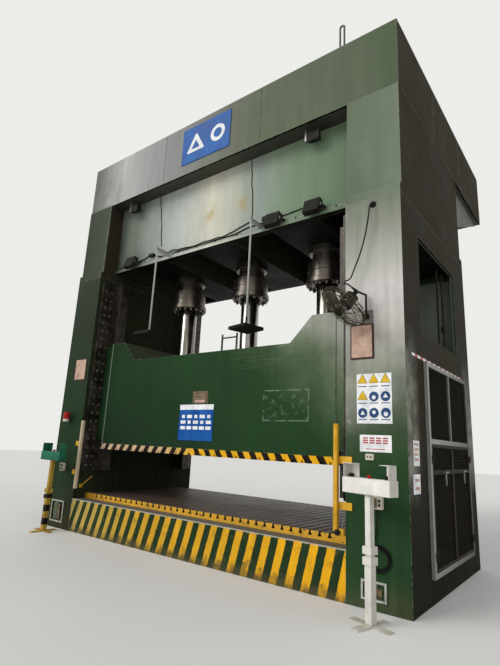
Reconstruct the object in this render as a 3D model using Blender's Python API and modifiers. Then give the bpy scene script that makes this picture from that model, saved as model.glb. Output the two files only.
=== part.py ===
"""Framed hydraulic press with a guard housing, a T-slotted table and slide, and two operator pedestals.

X runs along the front from left to right, +Y to the back and +Z up, in metres. The origin is on the
floor under the middle of the whole object. Depths are measured back from the columns' front faces.
"""
import math

import bmesh
import bpy
from mathutils import Matrix, Vector

# Clearances and overruns
CLEARANCE = 0.0003
OVERRUN = 0.02
WELD = 0.004

# Press frame
PRESS_WIDTH = 6.20
COLUMN_WIDTH = 0.666
COLUMN_DEPTH = 2.71
JOINT_HEIGHT = 4.33
CROWN_TOP = 5.79

# Columns
COLUMN_INNER_WALL = 0.08
COLUMN_OUTER_WALL = 0.04
COLUMN_DUCT = 0.35
COLUMN_FLOOR = 0.24
COLUMN_SHELF_LOW = 2.58
COLUMN_SHELF_HIGH = 2.70
COLUMN_CEILING = 4.12
WINDOW_START = 0.565
WINDOW_LENGTH = 1.53
WINDOW_SILL = 2.81
WINDOW_HEIGHT = 1.18
CABLE_HOLE_X = 2.78
CABLE_HOLE_Z = 4.242
CABLE_HOLE_RADIUS = 0.036
CABLE_HOLE_DEPTH = 0.03
RIGHT_HATCH_LOW = (2.60, 0.085)
RIGHT_HATCH_HIGH = (2.86, 0.265)
LEFT_HATCH_LOW = (-2.99, 0.095)
LEFT_HATCH_HIGH = (-2.63, 0.435)
HATCH_RIM = 0.022
HATCH_PROUD = 0.012
PIPE_RADIUS = 0.021
PIPE_SPACING = 0.11
PIPE_FROM_WALL = 0.045
PIPE_DEPTH = 1.76
PIPE_CLAMP_WIDTH = 0.05
PIPE_CLAMP_Z = 3.14

# Tie rods
TIE_ROD_RADIUS = 0.07
TIE_ROD_DEPTH = 0.25
TIE_NUT_RADIUS = 0.125
TIE_NUT_HEIGHT = 0.13
TIE_POCKET_RADIUS = 0.14
TIE_POCKET_HEIGHT = 0.20
TIE_THREAD_LENGTH = 0.08

# Bed and table
BED_HEIGHT = 0.495
APRON_THICKNESS = 0.02
TABLE_START = 0.245
TABLE_REAR_MARGIN = 0.25
TABLE_END = COLUMN_DEPTH - TABLE_REAR_MARGIN
TABLE_TOP = 0.58
TABLE_THICKNESS = 0.25
SLOT_COUNT = 35
SLOT_PITCH = 0.125
SLOT_THROAT = 0.026
SLOT_THROAT_DEPTH = 0.03
SLOT_HEAD = 0.044
SLOT_HEAD_DEPTH = 0.022

# Crown
CROWN_BAND_HEIGHT = 0.11
CROWN_BLOCK_SETBACK = 0.045
CROWN_BLOCK_REAR_SETBACK = 0.11
CROWN_BLOCK_END = COLUMN_DEPTH - CROWN_BLOCK_REAR_SETBACK
CROWN_PLATE_SETBACK = 0.34
CROWN_PLATE_BOTTOM = 4.49
CROWN_PLATE_THICKNESS = 0.07
CROWN_CELL_TOP = 5.60
CROWN_BLOCK_WALL = 0.08
CROWN_RAIL_HEIGHT = 0.05
CROWN_RAIL_DEPTH = 0.035

# Cylinders and plungers
CYLINDER_DEPTH = COLUMN_DEPTH / 2
CYLINDER_SPACING = 1.46
CYLINDER_HOUSING = 0.38
BARREL_RADIUS = 0.27
BARREL_TOP = 5.87
BARREL_HEAD_RADIUS = 0.35
BARREL_NECK_RADIUS = 0.22
BARREL_NECK_Z = 4.40
BARREL_SHOULDER_Z = 4.31
BARREL_CAP_Z = 4.23
BARREL_CAP_RADIUS = 0.29
BARREL_GROOVE_Z = 4.075
BARREL_GROOVE = 0.012
GLAND_TOP_Z = 3.965
GLAND_RADIUS = 0.315
GLAND_BOTTOM_Z = 3.89
PLUNGER_RADIUS = 0.15
PLUNGER_GAP = 0.0006
PLUNGER_TOP = 5.20
BARREL_BORE_TOP = 5.72
PLUNGER_FOOT_RADIUS = 0.25
PLUNGER_FOOT_HEIGHT = 0.07
SEAT_DEPTH = 0.005
SEAT_MARGIN = 0.01
TURNED_STEPS = 24
BORE_STEPS = 16
SMALL_STEPS = 8
PIN_STEPS = 16
SMOOTH_BELOW = math.radians(40)

# Slide
SLIDE_WIDTH = 4.37
SLIDE_START = 0.25
SLIDE_END = COLUMN_DEPTH - SLIDE_START
SLIDE_BOTTOM = 1.39
SLIDE_TOP = 2.77
EAR_TOP = 3.10
EAR_WIDTH = 0.33
EAR_CHAMFER = 0.32
SLIDE_CELL_FLOOR = 1.60
SLIDE_CELL_WALL = 0.06
SLIDE_PLATE_THICKNESS = 0.09
POST_HEIGHT = 0.42
POST_SIZE = 0.022
POST_SPACING = 0.30
POST_DEPTH = 0.60
POST_LINK_DROP = 0.05

# Guide rails and shoes
RAIL_BASE_START = 0.06
RAIL_BASE_LENGTH = 0.50
RAIL_BASE_THICKNESS = 0.055
RAIL_RIB_START = 0.33
RAIL_RIB_LENGTH = 0.16
RAIL_RUNNING_GAP = 0.015
RAIL_BOTTOM = 0.95
RAIL_TOP = 4.24
SHOE_LEG = 0.07
SHOE_BOTTOM = 1.46
SHOE_TOP = 3.06
SHOE_REACH = 0.165

# Housing, deck and power unit
HOUSING_HEIGHT = 0.955
HOUSING_SETBACK = 0.06
HOUSING_DEPTH = 4.35
HOUSING_SKIN = 0.04
HOUSING_PANELS = 3
SEAM_WIDTH = 0.012
SEAM_DEPTH = 0.006
DECK_THICKNESS = 0.04
DECK_HOLE_MARGIN = 0.03
BRACKET_COUNT = 4
BRACKET_WIDTH = 0.06
BRACKET_DROP = 0.75
BRACKET_FLANGE = 0.05
HOOP_X = 2.35
HOOP_WIDTH = 0.062
HOOP_HEIGHT = 0.35
HOOP_RADIUS = 0.014
HOOP_SINK = 0.03
HOOP_STEPS = 6
TANK_SIZE = (2.30, 1.15, 0.62)
TANK_DEPTH = 3.62
TANK_LID = 0.03
TANK_BREATHER_RADIUS = 0.06
TANK_BREATHER_HEIGHT = 0.10
MOTOR_RADIUS = 0.19
MOTOR_LENGTH = 0.52
MOTOR_X = 1.85
MOTOR_DEPTH = 3.15
MOTOR_AXIS_HEIGHT = 0.27
MOTOR_END_RADIUS = 0.14
MOTOR_END_LENGTH = 0.06
PUMP_RADIUS = 0.12
PUMP_LENGTH = 0.34
MOTOR_FOOT = (0.30, 0.34)

# Side guards
GUARD_START = 0.58
GUARD_LENGTH = 1.71
GUARD_BOTTOM = 0.24
GUARD_TOP = 2.48
GUARD_MEMBER = 0.05
GUARD_THICKNESS = 0.04
GUARD_OVERLAP = 0.035
GUARD_RAIL_TOP = 1.635
GUARD_RAIL_HEIGHT = 0.055
GUARD_MULLION = 0.03
GUARD_SHEET = 0.006
LEAF_GAP = 0.004
LEAF_MEMBER = 0.03
LEAF_THICKNESS = 0.03
KNUCKLE_RADIUS = 0.011
KNUCKLE_HEIGHT = 0.09
KNUCKLE_SHARES = (0.12, 0.88)
GRIP_Z = 1.29
GRIP_SIZE = (0.11, 0.15)
GRIP_STANDOFF = 0.045
GRIP_BAR = 0.016

# Light curtain bars
CURTAIN_X = 2.34
CURTAIN_SECTION = 0.05
CURTAIN_BOTTOM = 0.66
CURTAIN_TOP = 1.745
CURTAIN_PROUD = 0.058
CURTAIN_ARM_LEVELS = (0.91, 1.37)
CURTAIN_ARM_HEIGHT = 0.075
CURTAIN_ARM_THICKNESS = 0.014
CURTAIN_ARM_END = 2.51

# Operator pedestals
LEFT_PEDESTAL_X = -2.643
LEFT_PEDESTAL_DISTANCE = 0.306
RIGHT_PEDESTAL_X = 2.865
RIGHT_PEDESTAL_DISTANCE = 0.40
RIGHT_PEDESTAL_TURN = math.radians(-15)
FOOT_LENGTH = 0.42
FOOT_WIDTH = 0.08
FOOT_THICKNESS = 0.014
POST_OUTER = 0.07
POST_WALL = 0.006
POST_TOP = 0.56
MAST_BOTTOM = 0.16
MAST_TOP = 1.09
COLLAR_WIDTH = 0.096
COLLAR_HEIGHT = 0.065
COLLAR_RISE = 0.02
CONSOLE_SIZE = (0.54, 0.135, 0.14)
CONSOLE_BEVEL = 0.006
CONSOLE_SKIN = 0.006
SHROUD_LENGTH = 0.10
SHROUD_DEPTH = 0.115
SHROUD_HEIGHT = 0.13
SHROUD_SKIN = 0.005
SHROUD_INSET = 0.012
PALM_RADIUS = 0.03
PALM_HEIGHT = 0.028
PALM_STEM_RADIUS = 0.014
PALM_TRAVEL = 0.006
PALM_WELL_DEPTH = 0.04
STOP_RADIUS = 0.021
STOP_HEIGHT = 0.024
BUTTON_STEPS = 20

# Wall fan
FAN_CENTRE_X = 2.552
FAN_CENTRE_DISTANCE = 0.31
FAN_CENTRE_Z = 2.955
FAN_AIM = (-0.46, -0.42, -0.78)
FAN_RADIUS = 0.275
FAN_CAGE_DEPTH = 0.15
FAN_WIRE = 0.006
FAN_SPOKES = 8
FAN_SPOKE_SHARE = 0.27
FAN_MOTOR_RADIUS = 0.072
FAN_MOTOR_LENGTH = 0.15
FAN_HUB_RADIUS = 0.045
FAN_HUB_LENGTH = 0.05
FAN_NOSE_RADIUS = 0.05
FAN_NOSE_THICKNESS = 0.012
FAN_BLADES = 4
FAN_BLADE_RADIUS = 0.245
FAN_BLADE_WIDTH = 0.13
FAN_BLADE_THICKNESS = 0.004
FAN_BLADE_PITCH = math.radians(24)
FAN_SHAFT_GAP = 0.0005
FAN_SHAFT_RADIUS = 0.008
FAN_LUG_LENGTH = 0.05
FAN_LUG_WIDTH = 0.03
FAN_LUG_REACH = 0.05
FAN_PIN_RADIUS = 0.008
FAN_PLATE = (0.13, 0.15)
FAN_PLATE_THICKNESS = 0.01
FAN_PLATE_X = 2.70
FAN_PLATE_Z = 2.90
FAN_CHEEK = 0.012
FAN_ARM_RADIUS = 0.013
FAN_ARM_OUT = 0.04

# Cords
FAN_LEAD_RADIUS = 0.008
SPARE_CORD_RADIUS = 0.006
SPARE_COIL_RADIUS = 0.108
SPARE_COIL_WIDTH = 0.037
SPARE_COIL_THICKNESS = 0.025
PLUG_LENGTH = 0.045
PLUG_RADIUS = 0.018
PLUG_NECK_RADIUS = 0.011
PLUG_PIN_LENGTH = 0.018
PLUG_PIN_SPACING = 0.0127
PLUG_PIN_WIDTH = 0.002
PLUG_PIN_THICKNESS = 0.006
SPARE_COIL_X = 2.785
SPARE_COIL_Z = 0.47
HOOK_RADIUS = 0.007
HOOK_REACH = 0.05
HOOK_LIP = 0.03

# Socket box
SOCKET_LOW = (2.728, 0.921)
SOCKET_HIGH = (2.845, 1.045)
SOCKET_PROUD = 0.055
SOCKET_BEVEL = 0.006
SOCKET_RECESS_RADIUS = 0.02
SOCKET_RECESS_DEPTH = 0.01

# Work lights and floodlights
LIGHT_X = 0.975
LIGHT_DEPTH = 0.035
LIGHT_ROD_TOP = 4.60
LIGHT_ROD_RADIUS = 0.014
LIGHT_LEVELS = (3.085, 2.955)
LIGHT_TURNS = (0.0, math.radians(-12))
LIGHT_HEAD = (0.34, 0.045)
LIGHT_NECK_RADIUS = 0.035
LIGHT_NECK_HEIGHT = 0.04
LIGHT_ARM_HEIGHT = 0.07
LIGHT_ARM_THICKNESS = 0.012
LIGHT_ARM_WING = 0.06
FLOOD_PLACES = ((-1.89, 4.570), (1.21, 4.565), (1.85, 4.585))
FLOOD_SIZE = (0.24, 0.09, 0.21)
FLOOD_EAR = 0.012
FLOOD_EAR_HEIGHT = 0.05
FLOOD_STANDOFF = 0.125
FLOOD_PIN_RADIUS = 0.01
FLOOD_LIFT = math.radians(-18)

# Worked out from the sizes above
HALF_WIDTH = PRESS_WIDTH / 2
INNER_X = HALF_WIDTH - COLUMN_WIDTH
HOUSING_END = HOUSING_SETBACK + HOUSING_DEPTH
HOUSING_TOP = CROWN_TOP + CLEARANCE + HOUSING_HEIGHT
FOOT_REACH = FOOT_LENGTH / 2 * math.cos(RIGHT_PEDESTAL_TURN) - FOOT_WIDTH / 2 * math.sin(RIGHT_PEDESTAL_TURN)
FRONT_Y = (RIGHT_PEDESTAL_DISTANCE + FOOT_REACH - HOUSING_END) / 2
CYLINDER_XS = (-CYLINDER_SPACING, 0.0, CYLINDER_SPACING)
TIE_X = HALF_WIDTH - COLUMN_WIDTH / 2
TIE_DEPTHS = (TIE_ROD_DEPTH, COLUMN_DEPTH - TIE_ROD_DEPTH)
GUARD_X = HALF_WIDTH + CLEARANCE


def make_collection(name):
    """A collection linked to the scene."""
    made = bpy.data.collections.new(name)
    bpy.context.scene.collection.children.link(made)
    return made


def at(x, depth, z):
    """A point from its X, its depth behind the columns' front faces and its height."""
    return Vector((x, FRONT_Y + depth, z))


def keep(name, mesh):
    """A new object that holds the mesh."""
    obj = bpy.data.objects.new(name, mesh)
    PARTS.objects.link(obj)
    return obj


def from_bmesh(name, bm):
    """A new object from a bmesh, with its faces pointing out."""
    bmesh.ops.recalc_face_normals(bm, faces=bm.faces)
    mesh = bpy.data.meshes.new(name)
    bm.to_mesh(mesh)
    bm.free()
    return keep(name, mesh)


def boxes(name, corner_pairs):
    """One object holding a box for each pair of opposite corners."""
    bm = bmesh.new()
    for low, high in corner_pairs:
        low = Vector(low)
        high = Vector(high)
        middle = (low + high) / 2
        size = high - low
        place = Matrix.Translation(middle) @ Matrix.Diagonal((*size, 1))
        bmesh.ops.create_cube(bm, size=1, matrix=place)
    return from_bmesh(name, bm)


def box(name, low, high):
    """A box between two opposite corners."""
    return boxes(name, [(low, high)])


def rods(name, ends, radius, steps, tip_radius=None):
    """One object holding a round rod, or a taper, for each pair of end points."""
    bm = bmesh.new()
    for start, end in ends:
        run = Vector(end) - Vector(start)
        turn = run.to_track_quat("Z", "Y").to_matrix().to_4x4()
        place = Matrix.Translation((Vector(start) + Vector(end)) / 2) @ turn
        top = radius if tip_radius is None else tip_radius
        bmesh.ops.create_cone(bm, cap_ends=True, segments=steps, radius1=radius, radius2=top,
                              depth=run.length, matrix=place)
    return shade_round(from_bmesh(name, bm))


def settle(name, source):
    """A welded mesh object made from an object's evaluated shape, which is then removed."""
    bpy.context.view_layer.update()
    graph = bpy.context.evaluated_depsgraph_get()
    mesh = bpy.data.meshes.new_from_object(source.evaluated_get(graph))
    mesh.transform(source.matrix_world)
    bpy.data.objects.remove(source)
    bm = bmesh.new()
    bm.from_mesh(mesh)
    bpy.data.meshes.remove(mesh)
    bmesh.ops.remove_doubles(bm, verts=bm.verts, dist=CLEARANCE / 10)
    return from_bmesh(name, bm)


def outline(name, loops, plane, start, end):
    """A flat outline, with any holes, extruded from start to end across its plane.

    The plane is "XZ", "YZ" or "XY", and each loop is a list of points in that plane.
    """
    curve = bpy.data.curves.new(name, "CURVE")
    curve.dimensions = "2D"
    curve.fill_mode = "BOTH"
    curve.extrude = abs(end - start) / 2
    for points in loops:
        spline = curve.splines.new("POLY")
        spline.points.add(len(points) - 1)
        for spot, (across, up) in zip(spline.points, points):
            spot.co = (across, up, 0, 1)
        spline.use_cyclic_u = True
    obj = keep(name, curve)
    middle = (start + end) / 2
    frames = {
        "XZ": Matrix(((1, 0, 0, 0), (0, 0, -1, middle), (0, 1, 0, 0), (0, 0, 0, 1))),
        "YZ": Matrix(((0, 0, 1, middle), (1, 0, 0, 0), (0, 1, 0, 0), (0, 0, 0, 1))),
        "XY": Matrix(((1, 0, 0, 0), (0, 1, 0, 0), (0, 0, 1, middle), (0, 0, 0, 1))),
    }
    obj.matrix_world = frames[plane]
    return settle(name, obj)


def shade_round(obj):
    """Shades a piece smooth, with its corners kept sharp."""
    obj.data.shade_smooth()
    obj.data.set_sharp_from_angle(angle=SMOOTH_BELOW)
    return obj


def turned(name, profile, centre, steps=TURNED_STEPS, closed=False):
    """A profile of radius and height pairs, top to bottom, turned about the vertical through centre."""
    mesh = bpy.data.meshes.new(name)
    spots = [(radius, 0, height) for radius, height in profile]
    edges = [(i, i + 1) for i in range(len(profile) - 1)]
    if closed:
        edges.append((len(profile) - 1, 0))
    mesh.from_pydata(spots, edges, [])
    obj = keep(name, mesh)
    screw = obj.modifiers.new("turn", "SCREW")
    screw.steps = steps
    screw.render_steps = steps
    screw.use_merge_vertices = True
    screw.merge_threshold = CLEARANCE / 10
    obj.matrix_world = Matrix.Translation(centre)
    return shade_round(settle(name, obj))


def tube(name, points, radius, sides=2, closed=False):
    """A round tube along a list of points, with closed ends."""
    curve = bpy.data.curves.new(name, "CURVE")
    curve.dimensions = "3D"
    curve.bevel_depth = radius
    curve.bevel_resolution = sides
    curve.use_fill_caps = True
    spline = curve.splines.new("POLY")
    spline.points.add(len(points) - 1)
    for spot, point in zip(spline.points, points):
        spot.co = (*point, 1)
    spline.use_cyclic_u = closed
    return shade_round(settle(name, keep(name, curve)))


def combine(target, tool, operation):
    """Joins the tool to the target, or cuts it away, with an exact Boolean."""
    step = target.modifiers.new(tool.name, "BOOLEAN")
    step.operation = operation
    step.solver = "EXACT"
    step.object = tool
    PARTS.objects.unlink(tool)
    CUTTERS.objects.link(tool)
    tool.hide_render = True
    tool.display_type = "WIRE"


def bore_round(pin_radius):
    """The corner radius of a bore whose flats clear a turning pin."""
    return (pin_radius + CLEARANCE) / math.cos(math.pi / PIN_STEPS)


def fuse(target, tool):
    """Joins the tool to the target as one body."""
    combine(target, tool, "UNION")


def cut(target, tool):
    """Cuts the tool's shape out of the target."""
    combine(target, tool, "DIFFERENCE")


def place(obj, matrix):
    """Moves an object and the tools that shape it."""
    for step in obj.modifiers:
        if step.type == "BOOLEAN":
            place(step.object, matrix)
    obj.matrix_world = matrix @ obj.matrix_world


def set_pivot(obj, point):
    """Puts a moving piece's origin on its joint's axis, leaving its shape where it is."""
    shift = obj.matrix_world.inverted() @ Vector(point)
    obj.data.transform(Matrix.Translation(-shift))
    obj.matrix_world = obj.matrix_world @ Matrix.Translation(shift)


def bevel(obj, width):
    """Rounds the edges over by one narrow facet."""
    step = obj.modifiers.new("edge", "BEVEL")
    step.width = width
    step.segments = 1
    step.limit_method = "ANGLE"


def paint(obj, colour, roughness, metallic=0.0):
    """Gives a piece a material of its own."""
    material = bpy.data.materials.new(obj.name)
    material.use_nodes = True
    shader = material.node_tree.nodes["Principled BSDF"]
    shader.inputs["Base Color"].default_value = (*colour, 1)
    shader.inputs["Roughness"].default_value = roughness
    shader.inputs["Metallic"].default_value = metallic
    obj.data.materials.clear()
    obj.data.materials.append(material)
    return obj


GREEN = (0.035, 0.11, 0.045)
PALE_GREEN = (0.36, 0.42, 0.35)
OFF_WHITE = (0.72, 0.70, 0.64)
YELLOW = (0.70, 0.42, 0.03)
DARK_STEEL = (0.05, 0.045, 0.04)
OILY_STEEL = (0.12, 0.10, 0.09)
CHROME = (0.75, 0.75, 0.73)
BLACK = (0.012, 0.012, 0.012)
RED = (0.55, 0.02, 0.015)
TURQUOISE = (0.05, 0.30, 0.24)


def slot_middles():
    """The places of the slots across the press."""
    return [(index - (SLOT_COUNT - 1) / 2) * SLOT_PITCH for index in range(SLOT_COUNT)]


def make_bed():
    """The base weldment between the columns, with a pocket for the table and a striped front plate."""
    half = INNER_X - CLEARANCE
    front = FRONT_Y + APRON_THICKNESS + CLEARANCE
    back = FRONT_Y + COLUMN_DEPTH
    pocket_front = FRONT_Y + TABLE_START - CLEARANCE
    pocket_back = FRONT_Y + TABLE_END + CLEARANCE
    pocket_floor = TABLE_TOP - TABLE_THICKNESS - CLEARANCE
    profile = [(front, 0), (back, 0), (back, BED_HEIGHT), (pocket_back, BED_HEIGHT),
               (pocket_back, pocket_floor), (pocket_front, pocket_floor),
               (pocket_front, BED_HEIGHT), (front, BED_HEIGHT)]
    bed = outline("bed", [profile], "YZ", -half, half)
    paint(bed, GREEN, 0.6)
    apron = box("front_apron", at(-half, 0, 0), at(half, APRON_THICKNESS, BED_HEIGHT))
    paint(apron, YELLOW, 0.55)


def make_table():
    """The table plate, with T-slots open upwards from front to back."""
    bottom = TABLE_TOP - TABLE_THICKNESS
    throat = TABLE_TOP - SLOT_THROAT_DEPTH
    floor = throat - SLOT_HEAD_DEPTH
    half = INNER_X - CLEARANCE
    profile = [(-half, bottom), (-half, TABLE_TOP)]
    for middle in slot_middles():
        profile += [(middle - SLOT_THROAT / 2, TABLE_TOP), (middle - SLOT_THROAT / 2, throat),
                    (middle - SLOT_HEAD / 2, throat), (middle - SLOT_HEAD / 2, floor),
                    (middle + SLOT_HEAD / 2, floor), (middle + SLOT_HEAD / 2, throat),
                    (middle + SLOT_THROAT / 2, throat), (middle + SLOT_THROAT / 2, TABLE_TOP)]
    profile += [(half, TABLE_TOP), (half, bottom)]
    table = outline("worktable", [profile], "XZ", FRONT_Y + TABLE_START, FRONT_Y + TABLE_END)
    paint(table, OILY_STEEL, 0.5, 0.6)


def ring_plate(name, low, high, rim, depth_start, depth_end):
    """A rectangular rim in a plane that faces the front."""
    outer = [(low[0], low[1]), (high[0], low[1]), (high[0], high[1]), (low[0], high[1])]
    inner = [(low[0] + rim, low[1] + rim), (high[0] - rim, low[1] + rim),
             (high[0] - rim, high[1] - rim), (low[0] + rim, high[1] - rim)]
    return outline(name, [outer, inner], "XZ", FRONT_Y + depth_start, FRONT_Y + depth_end)


def add_column_pipes(column, side):
    """Two oil pipes with a clamp, on the column's inner wall behind the window."""
    wall = side * (INNER_X + COLUMN_INNER_WALL)
    axis_x = wall + side * PIPE_FROM_WALL
    depths = (PIPE_DEPTH, PIPE_DEPTH + PIPE_SPACING)
    reach = PIPE_RADIUS + PIPE_CLAMP_WIDTH / 2
    fuse(column, rods(column.name + "_pipes", [
        (at(axis_x, depth, COLUMN_SHELF_HIGH - WELD), at(axis_x, depth, COLUMN_CEILING + WELD))
        for depth in depths], PIPE_RADIUS, SMALL_STEPS))
    fuse(column, box(column.name + "_pipe_clamp", at(wall - side * WELD, depths[0] - reach, PIPE_CLAMP_Z),
                     at(axis_x + side * PIPE_RADIUS / 2, depths[1] + reach, PIPE_CLAMP_Z + PIPE_CLAMP_WIDTH)))


def make_column(name, side):
    """A hollow column with a side window, a side door opening, a shelf and tie-rod ducts."""
    outer = side * HALF_WIDTH
    inner = side * INNER_X
    column = box(name, at(inner, 0, 0), at(outer, COLUMN_DEPTH, JOINT_HEIGHT))
    room_inner = inner + side * COLUMN_INNER_WALL
    room_outer = outer - side * COLUMN_OUTER_WALL
    room_end = COLUMN_DEPTH - COLUMN_DUCT
    cut(column, boxes(name + "_rooms", [
        (at(room_inner, COLUMN_DUCT, COLUMN_FLOOR), at(room_outer, room_end, COLUMN_SHELF_LOW)),
        (at(room_inner, COLUMN_DUCT, COLUMN_SHELF_HIGH), at(room_outer, room_end, COLUMN_CEILING))]))
    sill = GUARD_BOTTOM + GUARD_OVERLAP
    door_start = GUARD_START + GUARD_OVERLAP
    door_end = GUARD_START + GUARD_LENGTH - GUARD_OVERLAP
    beyond = outer + side * OVERRUN
    within = room_outer - side * OVERRUN
    cut(column, boxes(name + "_openings", [
        (at(within, WINDOW_START, WINDOW_SILL),
         at(beyond, WINDOW_START + WINDOW_LENGTH, WINDOW_SILL + WINDOW_HEIGHT)),
        (at(within, door_start, sill), at(beyond, door_end, GUARD_TOP - GUARD_OVERLAP))]))
    bore = TIE_ROD_RADIUS + CLEARANCE
    cut(column, rods(name + "_ducts", [
        (at(side * TIE_X, depth, -OVERRUN), at(side * TIE_X, depth, JOINT_HEIGHT + OVERRUN))
        for depth in TIE_DEPTHS], bore, BORE_STEPS))
    cut(column, rods(name + "_nut_pockets", [
        (at(side * TIE_X, depth, -OVERRUN), at(side * TIE_X, depth, TIE_POCKET_HEIGHT))
        for depth in TIE_DEPTHS], TIE_POCKET_RADIUS, BORE_STEPS))
    add_column_pipes(column, side)
    return paint(column, GREEN, 0.55)


def make_columns():
    """Both columns with what is welded to them: hatch rims, the cord's hook and the cable hole."""
    left = make_column("column_left", -1)
    fuse(left, ring_plate("left_hatch", LEFT_HATCH_LOW, LEFT_HATCH_HIGH, HATCH_RIM, -HATCH_PROUD, WELD))
    right = make_column("column_right", 1)
    fuse(right, ring_plate("right_hatch", RIGHT_HATCH_LOW, RIGHT_HATCH_HIGH, HATCH_RIM, -HATCH_PROUD, WELD))
    hole = at(CABLE_HOLE_X, 0, CABLE_HOLE_Z)
    cut(right, rods("cable_hole", [(hole - Vector((0, OVERRUN, 0)), hole + Vector((0, CABLE_HOLE_DEPTH, 0)))],
                    CABLE_HOLE_RADIUS, BUTTON_STEPS))
    hook_z = SPARE_COIL_Z + SPARE_COIL_RADIUS - SPARE_COIL_WIDTH / 2 - HOOK_RADIUS - CLEARANCE
    hook = [at(SPARE_COIL_X, WELD, hook_z), at(SPARE_COIL_X, -HOOK_REACH, hook_z),
            at(SPARE_COIL_X, -HOOK_REACH, hook_z + HOOK_LIP)]
    fuse(right, tube("coil_hook", hook, HOOK_RADIUS))


def make_tie_rods():
    """Four prestressed rods through the columns and the crown, each with its two nuts."""
    for side, side_name in ((-1, "left"), (1, "right")):
        for depth, depth_name in zip(TIE_DEPTHS, ("front", "rear")):
            nut_top = CROWN_TOP + CLEARANCE + TIE_NUT_HEIGHT
            low_nut_top = TIE_POCKET_HEIGHT - CLEARANCE
            low_nut = low_nut_top - TIE_NUT_HEIGHT
            rod = rods("tie_rod_" + side_name + "_" + depth_name,
                       [(at(side * TIE_X, depth, low_nut - CLEARANCE),
                         at(side * TIE_X, depth, nut_top + TIE_THREAD_LENGTH))],
                       TIE_ROD_RADIUS, BORE_STEPS)
            nuts = rods(rod.name + "_nuts",
                        [(at(side * TIE_X, depth, low_nut), at(side * TIE_X, depth, low_nut_top)),
                         (at(side * TIE_X, depth, CROWN_TOP + CLEARANCE), at(side * TIE_X, depth, nut_top))],
                        TIE_NUT_RADIUS, 6)
            fuse(rod, nuts)
            paint(rod, OILY_STEEL, 0.4, 0.8)


def make_crown():
    """The crown: end blocks on thick bands, a recessed front plate with a bottom rail, open cells below."""
    bottom = JOINT_HEIGHT + CLEARANCE
    band_top = bottom + CROWN_BAND_HEIGHT
    crown = box("crown", at(-HALF_WIDTH, CROWN_BLOCK_SETBACK, band_top - WELD),
                at(HALF_WIDTH, CROWN_BLOCK_END, CROWN_TOP))
    fuse(crown, boxes("crown_bands", [
        (at(side * INNER_X, 0, bottom), at(side * HALF_WIDTH, COLUMN_DEPTH, band_top))
        for side in (-1, 1)]))
    cut(crown, box("crown_recess", at(-INNER_X, -OVERRUN, bottom - OVERRUN),
                   at(INNER_X, CROWN_PLATE_SETBACK, CROWN_TOP + OVERRUN)))
    cut(crown, box("crown_underside", at(-INNER_X, 0, bottom - OVERRUN),
                   at(INNER_X, COLUMN_DEPTH, CROWN_PLATE_BOTTOM)))
    cell_start = CROWN_PLATE_SETBACK + CROWN_PLATE_THICKNESS
    cell_end = CROWN_BLOCK_END - CROWN_PLATE_THICKNESS
    edges = [-INNER_X + CROWN_BLOCK_WALL]
    for x in CYLINDER_XS:
        edges += [x - CYLINDER_HOUSING, x + CYLINDER_HOUSING]
    edges.append(INNER_X - CROWN_BLOCK_WALL)
    cut(crown, boxes("crown_cells", [
        (at(edges[i], cell_start, CROWN_PLATE_BOTTOM - OVERRUN), at(edges[i + 1], cell_end, CROWN_CELL_TOP))
        for i in range(0, len(edges), 2)]))
    rail_low = CROWN_PLATE_BOTTOM
    fuse(crown, box("crown_rail", at(-INNER_X, CROWN_PLATE_SETBACK - CROWN_RAIL_DEPTH, rail_low),
                    at(INNER_X, CROWN_PLATE_SETBACK + WELD, rail_low + CROWN_RAIL_HEIGHT)))
    cut(crown, rods("crown_bores", [
        (at(x, CYLINDER_DEPTH, bottom), at(x, CYLINDER_DEPTH, CROWN_TOP + OVERRUN))
        for x in CYLINDER_XS], BARREL_RADIUS + CLEARANCE, TURNED_STEPS))
    cut(crown, rods("crown_tie_bores", [
        (at(side * TIE_X, depth, bottom - OVERRUN), at(side * TIE_X, depth, CROWN_TOP + OVERRUN))
        for side in (-1, 1) for depth in TIE_DEPTHS], TIE_ROD_RADIUS + CLEARANCE, BORE_STEPS))
    return paint(crown, PALE_GREEN, 0.55)


def make_cylinder(name, x):
    """A main cylinder: a head on the crown, a barrel, a necked cap and a gland ring."""
    bore = PLUNGER_RADIUS + PLUNGER_GAP
    head_low = CROWN_TOP + CLEARANCE
    profile = [(0, BARREL_TOP), (BARREL_HEAD_RADIUS, BARREL_TOP), (BARREL_HEAD_RADIUS, head_low),
               (BARREL_RADIUS, head_low), (BARREL_RADIUS, BARREL_NECK_Z),
               (BARREL_NECK_RADIUS, BARREL_NECK_Z), (BARREL_NECK_RADIUS, BARREL_SHOULDER_Z),
               (BARREL_CAP_RADIUS, BARREL_CAP_Z), (BARREL_CAP_RADIUS, BARREL_GROOVE_Z + BARREL_GROOVE),
               (BARREL_CAP_RADIUS - BARREL_GROOVE, BARREL_GROOVE_Z + BARREL_GROOVE / 2),
               (BARREL_CAP_RADIUS, BARREL_GROOVE_Z), (BARREL_CAP_RADIUS, GLAND_TOP_Z),
               (GLAND_RADIUS, GLAND_TOP_Z), (GLAND_RADIUS, GLAND_BOTTOM_Z), (bore, GLAND_BOTTOM_Z),
               (bore, BARREL_BORE_TOP), (0, BARREL_BORE_TOP)]
    barrel = turned(name, profile, at(x, CYLINDER_DEPTH, 0))
    paint(barrel, DARK_STEEL, 0.45, 0.6)


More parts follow.
